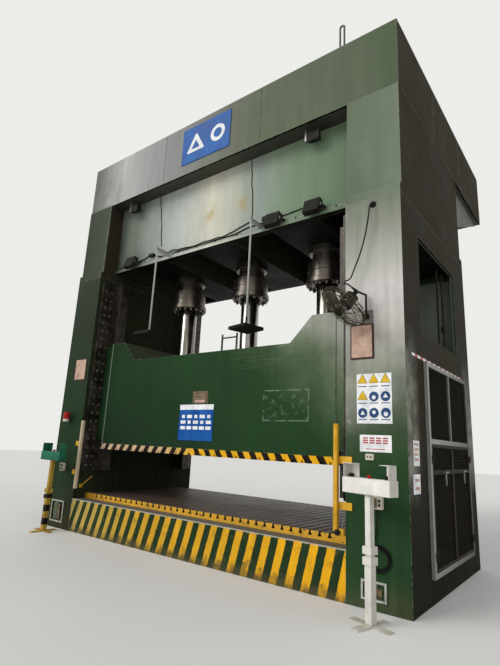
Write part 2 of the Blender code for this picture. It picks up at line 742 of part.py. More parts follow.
def make_plunger(name, x):
    """A bright plunger with the clamp ring that holds it on the slide."""
    foot_low = SLIDE_TOP - SEAT_DEPTH + CLEARANCE
    foot_high = foot_low + PLUNGER_FOOT_HEIGHT
    profile = [(0, PLUNGER_TOP), (PLUNGER_RADIUS, PLUNGER_TOP), (PLUNGER_RADIUS, foot_high),
               (PLUNGER_FOOT_RADIUS, foot_high), (PLUNGER_FOOT_RADIUS, foot_low), (0, foot_low)]
    return paint(turned(name, profile, at(x, CYLINDER_DEPTH, 0)), CHROME, 0.12, 1.0)


def make_slide():
    """The slide: a stepped weldment with ears, cells open at the top, guide shoes and two posts."""
    half = SLIDE_WIDTH / 2
    ear = half - EAR_WIDTH
    foot = ear - EAR_CHAMFER
    profile = [(-half, SLIDE_BOTTOM), (half, SLIDE_BOTTOM), (half, EAR_TOP), (ear, EAR_TOP),
               (foot, SLIDE_TOP), (-foot, SLIDE_TOP), (-ear, EAR_TOP), (-half, EAR_TOP)]
    slide = outline("slide", [profile], "XZ", FRONT_Y + SLIDE_START, FRONT_Y + SLIDE_END)
    edges = [-foot]
    for x in CYLINDER_XS:
        edges += [x - CYLINDER_HOUSING, x + CYLINDER_HOUSING]
    edges.append(foot)
    cells = [(edges[i], edges[i + 1]) for i in range(2, len(edges) - 2, 2)]
    cut(slide, boxes("slide_cells", [
        (at(low, SLIDE_START + SLIDE_CELL_WALL, SLIDE_CELL_FLOOR),
         at(high, SLIDE_END - SLIDE_CELL_WALL, SLIDE_TOP + OVERRUN)) for low, high in cells]))
    cut(slide, rods("slide_seats", [
        (at(x, CYLINDER_DEPTH, SLIDE_TOP - SEAT_DEPTH), at(x, CYLINDER_DEPTH, EAR_TOP + OVERRUN))
        for x in CYLINDER_XS], PLUNGER_FOOT_RADIUS + SEAT_MARGIN, TURNED_STEPS))
    legs = []
    for side in (-1, 1):
        for _, near in rail_places():
            far = near + RAIL_RIB_LENGTH
            for leg_start, leg_end in ((near - CLEARANCE - SHOE_LEG, near - CLEARANCE),
                                       (far + CLEARANCE, far + CLEARANCE + SHOE_LEG)):
                legs.append((at(side * (half - WELD), leg_start, SHOE_BOTTOM),
                             at(side * (half + SHOE_REACH), leg_end, SHOE_TOP)))
    fuse(slide, boxes("slide_shoes", legs))
    middle_z = SLIDE_TOP + POST_HEIGHT - POST_LINK_DROP
    fuse(slide, boxes("slide_posts", [
        (at(side * POST_SPACING / 2 - POST_SIZE / 2, SLIDE_START + POST_DEPTH, SLIDE_TOP - WELD),
         at(side * POST_SPACING / 2 + POST_SIZE / 2, SLIDE_START + POST_DEPTH + POST_SIZE,
            SLIDE_TOP + POST_HEIGHT)) for side in (-1, 1)]))
    fuse(slide, box("slide_post_link",
                    at(-POST_SPACING / 2, SLIDE_START + POST_DEPTH + POST_SIZE / 4, middle_z - POST_SIZE),
                    at(POST_SPACING / 2, SLIDE_START + POST_DEPTH + POST_SIZE * 3 / 4, middle_z)))
    return paint(slide, GREEN, 0.5)


def make_slide_plate():
    """The plate under the slide, with keyways open downwards."""
    top = SLIDE_BOTTOM - CLEARANCE
    bottom = top - SLIDE_PLATE_THICKNESS
    half = SLIDE_WIDTH / 2
    profile = [(half, top), (-half, top), (-half, bottom)]
    for middle in slot_middles():
        profile += [(middle - SLOT_THROAT / 2, bottom), (middle - SLOT_THROAT / 2, bottom + SLOT_THROAT_DEPTH),
                    (middle + SLOT_THROAT / 2, bottom + SLOT_THROAT_DEPTH), (middle + SLOT_THROAT / 2, bottom)]
    profile.append((half, bottom))
    plate = outline("slide_plate", [profile], "XZ", FRONT_Y + SLIDE_START, FRONT_Y + SLIDE_END)
    return paint(plate, YELLOW, 0.5, 0.3)


def rail_places():
    """Depths at which the base and the rib begin, for a front rail and a mirrored rear rail."""
    rear_base = COLUMN_DEPTH - RAIL_BASE_START - RAIL_BASE_LENGTH
    rear_rib = COLUMN_DEPTH - RAIL_RIB_START - RAIL_RIB_LENGTH
    return (RAIL_BASE_START, RAIL_RIB_START), (rear_base, rear_rib)


def make_guide_rail(name, side, start, rib_start):
    """A guide rail on a column: a broad base and a rib that the slide's shoe straddles."""
    base = side * (INNER_X - CLEARANCE)
    base_face = base - side * RAIL_BASE_THICKNESS
    rib_face = side * (SLIDE_WIDTH / 2 + RAIL_RUNNING_GAP)
    rib_end = rib_start + RAIL_RIB_LENGTH
    profile = [(base, FRONT_Y + start), (base, FRONT_Y + start + RAIL_BASE_LENGTH),
               (base_face, FRONT_Y + start + RAIL_BASE_LENGTH), (base_face, FRONT_Y + rib_end),
               (rib_face, FRONT_Y + rib_end), (rib_face, FRONT_Y + rib_start),
               (base_face, FRONT_Y + rib_start), (base_face, FRONT_Y + start)]
    rail = outline(name, [profile], "XY", RAIL_BOTTOM, RAIL_TOP)
    return paint(rail, OILY_STEEL, 0.4, 0.7)


def make_guides():
    """Four guide rails, one at each corner of the slide."""
    for side, side_name in ((-1, "left"), (1, "right")):
        for (start, rib_start), row in zip(rail_places(), ("front", "rear")):
            make_guide_rail("guide_rail_" + side_name + "_" + row, side, start, rib_start)


def make_housing():
    """The guard housing: a skin round the crown's top with panel seams, a lip and a vent pipe hoop."""
    low = CROWN_TOP + CLEARANCE
    skin = HOUSING_SKIN
    housing = box("guard_housing", at(-HALF_WIDTH, HOUSING_SETBACK, low),
                  at(HALF_WIDTH, HOUSING_END, HOUSING_TOP))
    cut(housing, box("housing_room", at(-HALF_WIDTH + skin, HOUSING_SETBACK + skin, low - OVERRUN),
                     at(HALF_WIDTH - skin, HOUSING_END - skin, HOUSING_TOP + OVERRUN)))
    seams = []
    for index in range(1, HOUSING_PANELS):
        x = -HALF_WIDTH + PRESS_WIDTH * index / HOUSING_PANELS
        seams.append((at(x - SEAM_WIDTH / 2, HOUSING_SETBACK - OVERRUN, low - OVERRUN),
                      at(x + SEAM_WIDTH / 2, HOUSING_SETBACK + SEAM_DEPTH, HOUSING_TOP + OVERRUN)))
        depth = HOUSING_SETBACK + HOUSING_DEPTH * index / HOUSING_PANELS
        for side in (-1, 1):
            seams.append((at(side * (HALF_WIDTH - SEAM_DEPTH), depth - SEAM_WIDTH / 2, low - OVERRUN),
                          at(side * (HALF_WIDTH + OVERRUN), depth + SEAM_WIDTH / 2, HOUSING_TOP + OVERRUN)))
    cut(housing, boxes("housing_seams", seams))
    hoop_depth = HOUSING_SETBACK + skin / 2
    top = HOUSING_TOP + HOOP_HEIGHT - HOOP_WIDTH / 2
    hoop = [at(HOOP_X - HOOP_WIDTH / 2, hoop_depth, HOUSING_TOP - HOOP_SINK)]
    for index in range(HOOP_STEPS + 1):
        angle = math.pi * (1 - index / HOOP_STEPS)
        hoop.append(at(HOOP_X + HOOP_WIDTH / 2 * math.cos(angle), hoop_depth,
                       top + HOOP_WIDTH / 2 * math.sin(angle)))
    hoop.append(at(HOOP_X + HOOP_WIDTH / 2, hoop_depth, HOUSING_TOP - HOOP_SINK))
    fuse(housing, tube("housing_hoop", hoop, HOOP_RADIUS))
    paint(housing, PALE_GREEN, 0.5)


def make_deck():
    """The deck plate inside the housing, holed for the cylinder heads and nuts, on rear brackets."""
    skin = HOUSING_SKIN + CLEARANCE
    low = CROWN_TOP + CLEARANCE
    deck = box("deck", at(-HALF_WIDTH + skin, HOUSING_SETBACK + skin, low),
               at(HALF_WIDTH - skin, HOUSING_END - skin, low + DECK_THICKNESS))
    holes = [(at(x, CYLINDER_DEPTH, low - OVERRUN), at(x, CYLINDER_DEPTH, low + DECK_THICKNESS + OVERRUN))
             for x in CYLINDER_XS]
    cut(deck, rods("deck_cylinder_holes", holes, BARREL_HEAD_RADIUS + DECK_HOLE_MARGIN, BORE_STEPS))
    nut_holes = [(at(side * TIE_X, depth, low - OVERRUN),
                  at(side * TIE_X, depth, low + DECK_THICKNESS + OVERRUN))
                 for side in (-1, 1) for depth in TIE_DEPTHS]
    cut(deck, rods("deck_nut_holes", nut_holes, TIE_NUT_RADIUS + DECK_HOLE_MARGIN, BORE_STEPS))
    wall = FRONT_Y + CROWN_BLOCK_END + CLEARANCE
    tip = FRONT_Y + HOUSING_END - skin - BRACKET_FLANGE
    gusset = [(wall, low + WELD), (wall, low - BRACKET_DROP), (wall + BRACKET_FLANGE, low - BRACKET_DROP),
              (tip, low - BRACKET_FLANGE), (tip, low + WELD)]
    span = HALF_WIDTH - skin - BRACKET_WIDTH
    for index in range(BRACKET_COUNT):
        x = -span + 2 * span * index / (BRACKET_COUNT - 1)
        fuse(deck, outline("deck_bracket_" + str(index), [gusset], "YZ",
                           x - BRACKET_WIDTH / 2, x + BRACKET_WIDTH / 2))
    paint(deck, DARK_STEEL, 0.6, 0.3)


def make_power_unit():
    """The oil tank and the two motor pumps on the deck."""
    floor = CROWN_TOP + DECK_THICKNESS + 2 * CLEARANCE
    length, breadth, height = TANK_SIZE
    tank = box("oil_tank", at(-length / 2, TANK_DEPTH - breadth / 2, floor),
               at(length / 2, TANK_DEPTH + breadth / 2, floor + height))
    lid = TANK_LID
    fuse(tank, box("tank_lid", at(-length / 2 - lid, TANK_DEPTH - breadth / 2 - lid, floor + height - WELD),
                   at(length / 2 + lid, TANK_DEPTH + breadth / 2 + lid, floor + height + lid)))
    breather = at(-length / 4, TANK_DEPTH, floor + height)
    fuse(tank, rods("tank_breather", [(breather, breather + Vector((0, 0, lid + TANK_BREATHER_HEIGHT)))],
                    TANK_BREATHER_RADIUS, BUTTON_STEPS))
    paint(tank, PALE_GREEN, 0.5)
    for side, side_name in ((-1, "left"), (1, "right")):
        axis = Matrix.Translation(at(side * MOTOR_X, MOTOR_DEPTH, floor + MOTOR_AXIS_HEIGHT))
        turn = axis @ Matrix.Rotation(math.radians(-90), 4, "X")
        half = MOTOR_LENGTH / 2
        profile = [(0, half + MOTOR_END_LENGTH), (MOTOR_END_RADIUS, half + MOTOR_END_LENGTH),
                   (MOTOR_RADIUS, half), (MOTOR_RADIUS, -half),
                   (PUMP_RADIUS, -half), (PUMP_RADIUS, -half - PUMP_LENGTH), (0, -half - PUMP_LENGTH)]
        motor = turned("motor_pump_" + side_name, profile, Vector((0, 0, 0)), BUTTON_STEPS)
        place(motor, turn)
        width, foot_length = MOTOR_FOOT
        fuse(motor, box(motor.name + "_feet",
                        at(side * MOTOR_X - width / 2, MOTOR_DEPTH - foot_length / 2, floor),
                        at(side * MOTOR_X + width / 2, MOTOR_DEPTH + foot_length / 2,
                           floor + MOTOR_AXIS_HEIGHT - MOTOR_RADIUS * 3 / 4)))
        paint(motor, GREEN, 0.45)


def guard_panel(name, outer, panes, x_low, x_high):
    """A plate with panes cut out of it, in a plane that faces the side.

    The plate and each pane are given as start depth, end depth, bottom and top.
    """
    loops = []
    for start, end, low, high in [outer] + panes:
        near = FRONT_Y + start
        far = FRONT_Y + end
        loops.append([(near, low), (far, low), (far, high), (near, high)])
    return outline(name, loops, "YZ", x_low, x_high)


def guard_sheet(name, pane, x_middle):
    """A thin sheet of perforated steel that closes a pane."""
    start, end, low, high = pane
    half = GUARD_SHEET / 2
    return box(name, at(x_middle - half, start - WELD, low - WELD), at(x_middle + half, end + WELD, high + WELD))


def make_side_frame(name, side):
    """The fixed frame round a column's side opening, with its two upper panes."""
    x_low, x_high = sorted((side * GUARD_X, side * (GUARD_X + GUARD_THICKNESS)))
    end = GUARD_START + GUARD_LENGTH
    middle = GUARD_START + GUARD_LENGTH / 2
    near = GUARD_START + GUARD_MEMBER
    far = end - GUARD_MEMBER
    panel_top = GUARD_TOP - GUARD_MEMBER
    doorway = (near, far, GUARD_BOTTOM + GUARD_MEMBER, GUARD_RAIL_TOP - GUARD_RAIL_HEIGHT)
    front_pane = (near, middle - GUARD_MULLION / 2, GUARD_RAIL_TOP, panel_top)
    rear_pane = (middle + GUARD_MULLION / 2, far, GUARD_RAIL_TOP, panel_top)
    frame = guard_panel(name, (GUARD_START, end, GUARD_BOTTOM, GUARD_TOP), [doorway, front_pane, rear_pane],
                        x_low, x_high)
    x_middle = (x_low + x_high) / 2
    for part, pane in (("_sheet_front", front_pane), ("_sheet_rear", rear_pane)):
        fuse(frame, guard_sheet(name + part, pane, x_middle))
    paint(frame, PALE_GREEN, 0.4, 0.5)


def make_leaf(name, side, row):
    """A hinged leaf of the side guard with its sheet, knuckles and grip; row is -1 front, 1 rear."""
    middle = GUARD_START + GUARD_LENGTH / 2
    post = middle + row * (GUARD_LENGTH / 2 - GUARD_MEMBER)
    outer_edge = post - row * LEAF_GAP
    inner_edge = middle + row * LEAF_GAP / 2
    start, end = sorted((outer_edge, inner_edge))
    low = GUARD_BOTTOM + GUARD_MEMBER + LEAF_GAP
    high = GUARD_RAIL_TOP - GUARD_RAIL_HEIGHT - LEAF_GAP
    face = GUARD_X + GUARD_THICKNESS
    x_low, x_high = sorted((side * (face - LEAF_THICKNESS), side * face))
    pane = (start + LEAF_MEMBER, end - LEAF_MEMBER, low + LEAF_MEMBER, high - LEAF_MEMBER)
    leaf = guard_panel(name, (start, end, low, high), [pane], x_low, x_high)
    fuse(leaf, guard_sheet(name + "_sheet", pane, (x_low + x_high) / 2))
    hinge_x = side * (face + KNUCKLE_RADIUS + CLEARANCE)
    hinge_depth = post + row * KNUCKLE_RADIUS / 4
    knuckles = []
    leaves = []
    for share in KNUCKLE_SHARES:
        height = low + (high - low) * share
        knuckles.append((at(hinge_x, hinge_depth, height - KNUCKLE_HEIGHT / 2),
                         at(hinge_x, hinge_depth, height + KNUCKLE_HEIGHT / 2)))
        leaves.append((at(side * (face - WELD), outer_edge, height - KNUCKLE_HEIGHT / 2),
                       at(hinge_x, outer_edge - row * LEAF_MEMBER, height + KNUCKLE_HEIGHT / 2)))
    fuse(leaf, boxes(name + "_hinge_plates", leaves))
    fuse(leaf, rods(name + "_knuckles", knuckles, KNUCKLE_RADIUS, SMALL_STEPS))
    length, drop = GRIP_SIZE
    bar = GRIP_BAR
    grip_start = FRONT_Y + (start + end - length) / 2
    grip_end = grip_start + length
    out = side * (face + GRIP_STANDOFF)
    grip = [(grip_start, GRIP_Z), (grip_start, GRIP_Z - drop), (grip_start + bar, GRIP_Z - drop),
            (grip_start + bar, GRIP_Z - bar), (grip_end, GRIP_Z - bar), (grip_end, GRIP_Z)]
    fuse(leaf, box(name + "_grip_plate", at(side * (face - LEAF_THICKNESS + WELD), start + WELD, GRIP_Z - 2 * bar),
                   at(side * (face - WELD), end - WELD, GRIP_Z + bar)))
    posts = []
    for foot in (grip_start + bar / 2, grip_end - bar):
        posts.append(((side * (face - 2 * WELD), foot - bar / 4, GRIP_Z - bar * 3 / 4),
                      (out - side * bar / 2, foot + bar / 4, GRIP_Z - bar / 4)))
    fuse(leaf, boxes(name + "_grip_posts", posts))
    fuse(leaf, outline(name + "_grip", [grip], "YZ", out - side * bar, out))
    set_pivot(leaf, at(hinge_x, hinge_depth, (low + high) / 2))
    return paint(leaf, PALE_GREEN, 0.4, 0.5)


def make_side_guards():
    """Both side guards: a fixed frame and two hinged leaves on each column."""
    for side, side_name in ((-1, "left"), (1, "right")):
        make_side_frame("side_guard_" + side_name, side)
        for row, row_name in ((-1, "front"), (1, "rear")):
            make_leaf("guard_leaf_" + side_name + "_" + row_name, side, row)


def make_light_curtain(name, side):
    """A light-curtain bar on two flat arms fixed to the column's front face."""
    half = CURTAIN_SECTION / 2
    middle = side * CURTAIN_X
    front = -CLEARANCE - CURTAIN_PROUD
    curtain = box(name, at(middle - half, front, CURTAIN_BOTTOM),
                  at(middle + half, front + CURTAIN_SECTION, CURTAIN_TOP))
    bevel(curtain, CONSOLE_BEVEL)
    pairs = []
    for level in CURTAIN_ARM_LEVELS:
        pairs.append((at(middle, -CLEARANCE - CURTAIN_ARM_THICKNESS, level - CURTAIN_ARM_HEIGHT / 2),
                      at(side * CURTAIN_ARM_END, -CLEARANCE, level + CURTAIN_ARM_HEIGHT / 2)))
    fuse(curtain, boxes(name + "_arms", pairs))
    return paint(curtain, YELLOW, 0.5)


def make_pedestal(name, x, distance, turn, colour):
    """A two-hand control pedestal: a footed post, a clamped mast with a console, and its buttons."""
    where = Matrix.Translation(at(x, -distance, 0)) @ Matrix.Rotation(turn, 4, "Z")
    half = FOOT_LENGTH / 2
    width = FOOT_WIDTH / 2
    lap = WELD / 4
    base = box(name + "_base", (-half, -width, 0), (half, width, FOOT_THICKNESS))
    fuse(base, box(name + "_cross_foot", (-width, -half, lap), (width, half, FOOT_THICKNESS - lap)))
    outer = POST_OUTER / 2
    fuse(base, box(name + "_post", (-outer, -outer, FOOT_THICKNESS - WELD), (outer, outer, POST_TOP)))
    collar = COLLAR_WIDTH / 2
    fuse(base, box(name + "_post_collar", (-collar, -collar, POST_TOP - WELD - COLLAR_HEIGHT),
                   (collar, collar, POST_TOP - WELD)))
    bore = outer - POST_WALL
    cut(base, box(name + "_post_bore", (-bore, -bore, FOOT_THICKNESS + WELD), (bore, bore, POST_TOP + OVERRUN)))
    place(base, where)
    paint(base, colour, 0.5)

    mast_half = bore - CLEARANCE
    console = box(name + "_console", (-mast_half, -mast_half, MAST_BOTTOM), (mast_half, mast_half, MAST_TOP))
    ring_low = POST_TOP + COLLAR_RISE
    fuse(console, box(name + "_mast_collar", (-collar, -collar, ring_low),
                      (collar, collar, ring_low + COLLAR_HEIGHT)))
    length, depth, height = CONSOLE_SIZE
    box_low = MAST_TOP - WELD
    box_top = box_low + height
    cabinet = box(name + "_cabinet", (-length / 2, -depth / 2, box_low), (length / 2, depth / 2, box_top))
    bevel(cabinet, CONSOLE_BEVEL)
    skin = CONSOLE_SKIN
    cut(cabinet, box(name + "_cabinet_room", (-length / 2 + skin, -depth / 2 + skin, box_low - OVERRUN),
                     (length / 2 - skin, depth / 2 - skin, box_top - PALM_WELL_DEPTH - skin)))
    fuse(console, box(name + "_mast_head", (-mast_half + WELD / 4, -mast_half + WELD / 4, MAST_TOP - WELD),
                      (mast_half - WELD / 4, mast_half - WELD / 4, box_top - PALM_WELL_DEPTH)))
    fuse(console, cabinet)
    shroud_floor = box_top + WELD / 2
    shroud_xs = []
    for side in (-1, 1):
        edge = side * (length / 2 - SHROUD_INSET)
        inner = edge - side * SHROUD_LENGTH
        back = SHROUD_DEPTH / 2
        fuse(console, box(name + "_shroud_" + str(side), (inner, -back, box_top - WELD),
                          (edge, back, box_top + SHROUD_HEIGHT)))
        cut(console, box(name + "_shroud_room_" + str(side),
                         (inner - side * OVERRUN, -back - OVERRUN, shroud_floor),
                         (edge - side * SHROUD_SKIN, back - SHROUD_SKIN, box_top + SHROUD_HEIGHT - SHROUD_SKIN)))
        shroud_xs.append((inner + edge) / 2)
    spots = [(shroud_xs[0], "palm_left"), (shroud_xs[1], "palm_right"), (0.0, "stop")]
    cut(console, rods(name + "_wells", [((spot, 0, box_top + OVERRUN), (spot, 0, box_top - PALM_WELL_DEPTH))
                                        for spot, _ in spots], PALM_STEM_RADIUS + CLEARANCE, BUTTON_STEPS))
    place(console, where)
    set_pivot(console, where @ Vector((0, 0, POST_TOP)))
    paint(console, colour, 0.5)

    rest = shroud_floor + CLEARANCE + PALM_TRAVEL
    for spot, label in spots:
        is_stop = label == "stop"
        radius = STOP_RADIUS if is_stop else PALM_RADIUS
        rise = STOP_HEIGHT if is_stop else PALM_HEIGHT
        profile = [(0, rest + rise), (radius / 2, rest + rise), (radius, rest + rise / 2), (radius, rest),
                   (PALM_STEM_RADIUS, rest), (PALM_STEM_RADIUS, box_top - PALM_WELL_DEPTH + PALM_TRAVEL * 2),
                   (0, box_top - PALM_WELL_DEPTH + PALM_TRAVEL * 2)]
        button = turned(name + "_" + label, profile, (spot, 0, 0), BUTTON_STEPS)
        place(button, where)
        set_pivot(button, where @ Vector((spot, 0, rest)))
        paint(button, RED if is_stop else BLACK, 0.4)


def fan_frame():
    """The fan's own frame: the origin at the rotor, +Z along the air stream, +X level."""
    aim = Vector(FAN_AIM).normalized()
    level = aim.cross(Vector((0, 0, 1))).normalized()
    third = aim.cross(level)
    turn = Matrix((level, third, aim)).transposed().to_4x4()
    return Matrix.Translation(at(FAN_CENTRE_X, -FAN_CENTRE_DISTANCE, FAN_CENTRE_Z)) @ turn


def circle(radius, height, count):
    """Points round a level circle."""
    return [(radius * math.cos(2 * math.pi * i / count), radius * math.sin(2 * math.pi * i / count), height)
            for i in range(count)]


def make_fan_head(where):
    """The motor with its lug and the wire cage: a rim, two smaller rings and looped spokes."""
    depth = FAN_CAGE_DEPTH / 2
    shaft = FAN_SHAFT_RADIUS + FAN_SHAFT_GAP
    back = -FAN_HUB_LENGTH / 2 - CLEARANCE
    far = back - FAN_MOTOR_LENGTH
    profile = [(shaft, back), (FAN_MOTOR_RADIUS, back), (FAN_MOTOR_RADIUS, far),
               (0, far), (0, back - FAN_MOTOR_LENGTH / 2), (shaft, back - FAN_MOTOR_LENGTH / 2)]
    head = turned("fan_head", profile, Vector((0, 0, 0)), BUTTON_STEPS, closed=True)
    lug = FAN_LUG_WIDTH / 2
    fuse(head, box("fan_lug", (-lug, -FAN_LUG_LENGTH / 2, far - FAN_LUG_REACH), (lug, FAN_LUG_LENGTH / 2,
                                                                               far + WELD)))
    ring_steps = 2 * FAN_SPOKES
    fuse(head, tube("fan_rim", circle(FAN_RADIUS, 0, ring_steps), FAN_WIRE, 1, True))
    nose = depth + FAN_NOSE_THICKNESS
    fuse(head, rods("fan_nose", [((0, 0, depth - FAN_NOSE_THICKNESS), (0, 0, nose))],
                    FAN_NOSE_RADIUS, BUTTON_STEPS))
    for index in range(FAN_SPOKES):
        angle = 2 * math.pi * (index + FAN_SPOKE_SHARE) / FAN_SPOKES
        loop = []
        for radius, height in ((FAN_NOSE_RADIUS / 2, depth), (FAN_RADIUS * 2 / 3, depth * 7 / 8),
                               (FAN_RADIUS - FAN_WIRE, depth / 4), (FAN_RADIUS, 0),
                               (FAN_RADIUS - FAN_WIRE, -depth / 2), (FAN_RADIUS * 2 / 3, -depth),
                               (FAN_MOTOR_RADIUS - FAN_WIRE, -depth)):
            loop.append((radius * math.cos(angle), radius * math.sin(angle), height))
        fuse(head, tube("fan_spoke_" + str(index), loop, FAN_WIRE * 3 / 4, 0))
    pivot = far - FAN_LUG_REACH / 2
    cut(head, rods("fan_lug_bore", [((-lug - OVERRUN, 0, pivot), (lug + OVERRUN, 0, pivot))],
                   bore_round(FAN_PIN_RADIUS), PIN_STEPS))
    place(head, where)
    set_pivot(head, where @ Vector((0, 0, pivot)))
    paint(head, DARK_STEEL, 0.5, 0.5)
    return pivot


def make_fan_blades(where):
    """The rotor: a hub on its shaft with pitched blades."""
    half = FAN_HUB_LENGTH / 2
    tail = -half - FAN_MOTOR_LENGTH / 2 + CLEARANCE
    profile = [(0, half), (FAN_HUB_RADIUS, half), (FAN_HUB_RADIUS, -half), (FAN_SHAFT_RADIUS, -half),
               (FAN_SHAFT_RADIUS, tail), (0, tail)]
    rotor = turned("fan_blades", profile, Vector((0, 0, 0)), BUTTON_STEPS)
    root = FAN_HUB_RADIUS / 2
    for index in range(FAN_BLADES):
        length = FAN_BLADE_RADIUS - root
        tip = FAN_BLADE_WIDTH / 2
        neck = FAN_HUB_RADIUS / 2
        plan = [(root, -neck), (root + length / 2, -tip), (FAN_BLADE_RADIUS - length / 6, -tip),
                (FAN_BLADE_RADIUS, -tip / 2), (FAN_BLADE_RADIUS, tip / 2),
                (FAN_BLADE_RADIUS - length / 6, tip), (root + length / 2, tip), (root, neck)]
        blade = outline("fan_blade_" + str(index), [plan], "XY", -FAN_BLADE_THICKNESS / 2,
                        FAN_BLADE_THICKNESS / 2)
        place(blade, Matrix.Rotation(2 * math.pi * index / FAN_BLADES, 4, "Z")
              @ Matrix.Rotation(FAN_BLADE_PITCH, 4, "X"))
        fuse(rotor, blade)
    place(rotor, where)
    paint(rotor, OILY_STEEL, 0.4, 0.6)


def make_fan_bracket(where, pivot):
    """The wall plate, arm and fork that carry the fan's lug on a pin."""
    width, height = FAN_PLATE
    lug = FAN_LUG_WIDTH / 2 + CLEARANCE
    cheek = lug + FAN_CHEEK
    reach = FAN_LUG_LENGTH / 2
    fork_end = pivot - FAN_LUG_REACH / 2 - FAN_CHEEK
    bracket = boxes("fan_bracket_cheeks", [
        ((side * lug, -reach, fork_end - FAN_CHEEK), (side * cheek, reach, pivot + FAN_PIN_RADIUS * 3 / 2))
        for side in (-1, 1)])
    fork = box("fan_bracket", (-cheek, -reach, fork_end - FAN_CHEEK), (cheek, reach, fork_end))
    fuse(fork, bracket)
    fuse(fork, rods("fan_pin", [((-cheek - FAN_CHEEK, 0, pivot), (cheek + FAN_CHEEK, 0, pivot))],
                    FAN_PIN_RADIUS, PIN_STEPS))
    place(fork, where)
    plate = box("fan_plate",
                at(FAN_PLATE_X - width / 2, -CLEARANCE - FAN_PLATE_THICKNESS, FAN_PLATE_Z - height / 2),
                at(FAN_PLATE_X + width / 2, -CLEARANCE, FAN_PLATE_Z + height / 2))
    fuse(fork, plate)
    start = where @ Vector((0, 0, fork_end - FAN_CHEEK / 2))
    elbow = at(FAN_PLATE_X, -FAN_ARM_OUT, start.z)
    end = at(FAN_PLATE_X, -FAN_ARM_OUT, FAN_PLATE_Z)
    fuse(fork, tube("fan_arm", [start, elbow, end], FAN_ARM_RADIUS))
    boss = FAN_ARM_RADIUS + FAN_CHEEK
    fuse(fork, box("fan_boss", at(FAN_PLATE_X - boss, -FAN_ARM_OUT - boss, FAN_PLATE_Z - boss),
                   at(FAN_PLATE_X + boss, -CLEARANCE - FAN_PLATE_THICKNESS / 2, FAN_PLATE_Z + boss)))
    paint(fork, DARK_STEEL, 0.5, 0.5)


def smooth_route(points, count):
    """Evenly numbered points along a smooth curve through the given points."""
    spots = [Vector(p) for p in points]
    spots = [2 * spots[0] - spots[1]] + spots + [2 * spots[-1] - spots[-2]]
    spans = len(points) - 1
    route = []
    for step in range(count):
        place_on = spans * step / (count - 1)
        index = min(int(place_on), spans - 1)
        t = place_on - index
        a, b, c, d = spots[index:index + 4]
        route.append((2 * b + (c - a) * t + (2 * a - 5 * b + 4 * c - d) * t ** 2
                      + (3 * b - a - 3 * c + d) * t ** 3) / 2)
    return route


# Route of the fan's lead from the cable hole to the motor, as X, depth and height
FAN_LEAD_ROUTE = ((2.780, 0.028, 4.242), (2.780, -0.004, 4.242), (2.779, -0.042, 4.232), (2.777, -0.070, 4.206),
                  (2.773, -0.080, 4.167), (2.756, -0.078, 4.060), (2.728, -0.076, 3.900),
                  (2.690, -0.080, 3.740), (2.640, -0.092, 3.580), (2.592, -0.105, 3.450),
                  (2.550, -0.130, 3.340), (2.538, -0.170, 3.255), (2.564, -0.215, 3.208))
# Route of the spare cord from the socket box down to its coil, as X, depth and height
SPARE_CORD_ROUTE = ((2.787, -0.028, 0.9205), (2.787, -0.028, 0.885), (2.781, -0.027, 0.820),
                    (2.772, -0.023, 0.740), (2.7635, -0.0192, 0.680), (2.7488, -0.0184, 0.6323),
                    (2.7228, -0.0184, 0.5873))
# Route of the spare cord's tail from its coil down to the plug, as X, depth and height
SPARE_TAIL_ROUTE = ((2.6640, -0.0063, 0.408), (2.6640, -0.0063, 0.386), (2.6640, -0.0090, 0.365),
                    (2.6645, -0.0160, 0.338), (2.6650, -0.0200, 0.310))
FAN_LEAD_POINTS = 36
SPARE_CORD_POINTS = 18
SPARE_TAIL_POINTS = 7


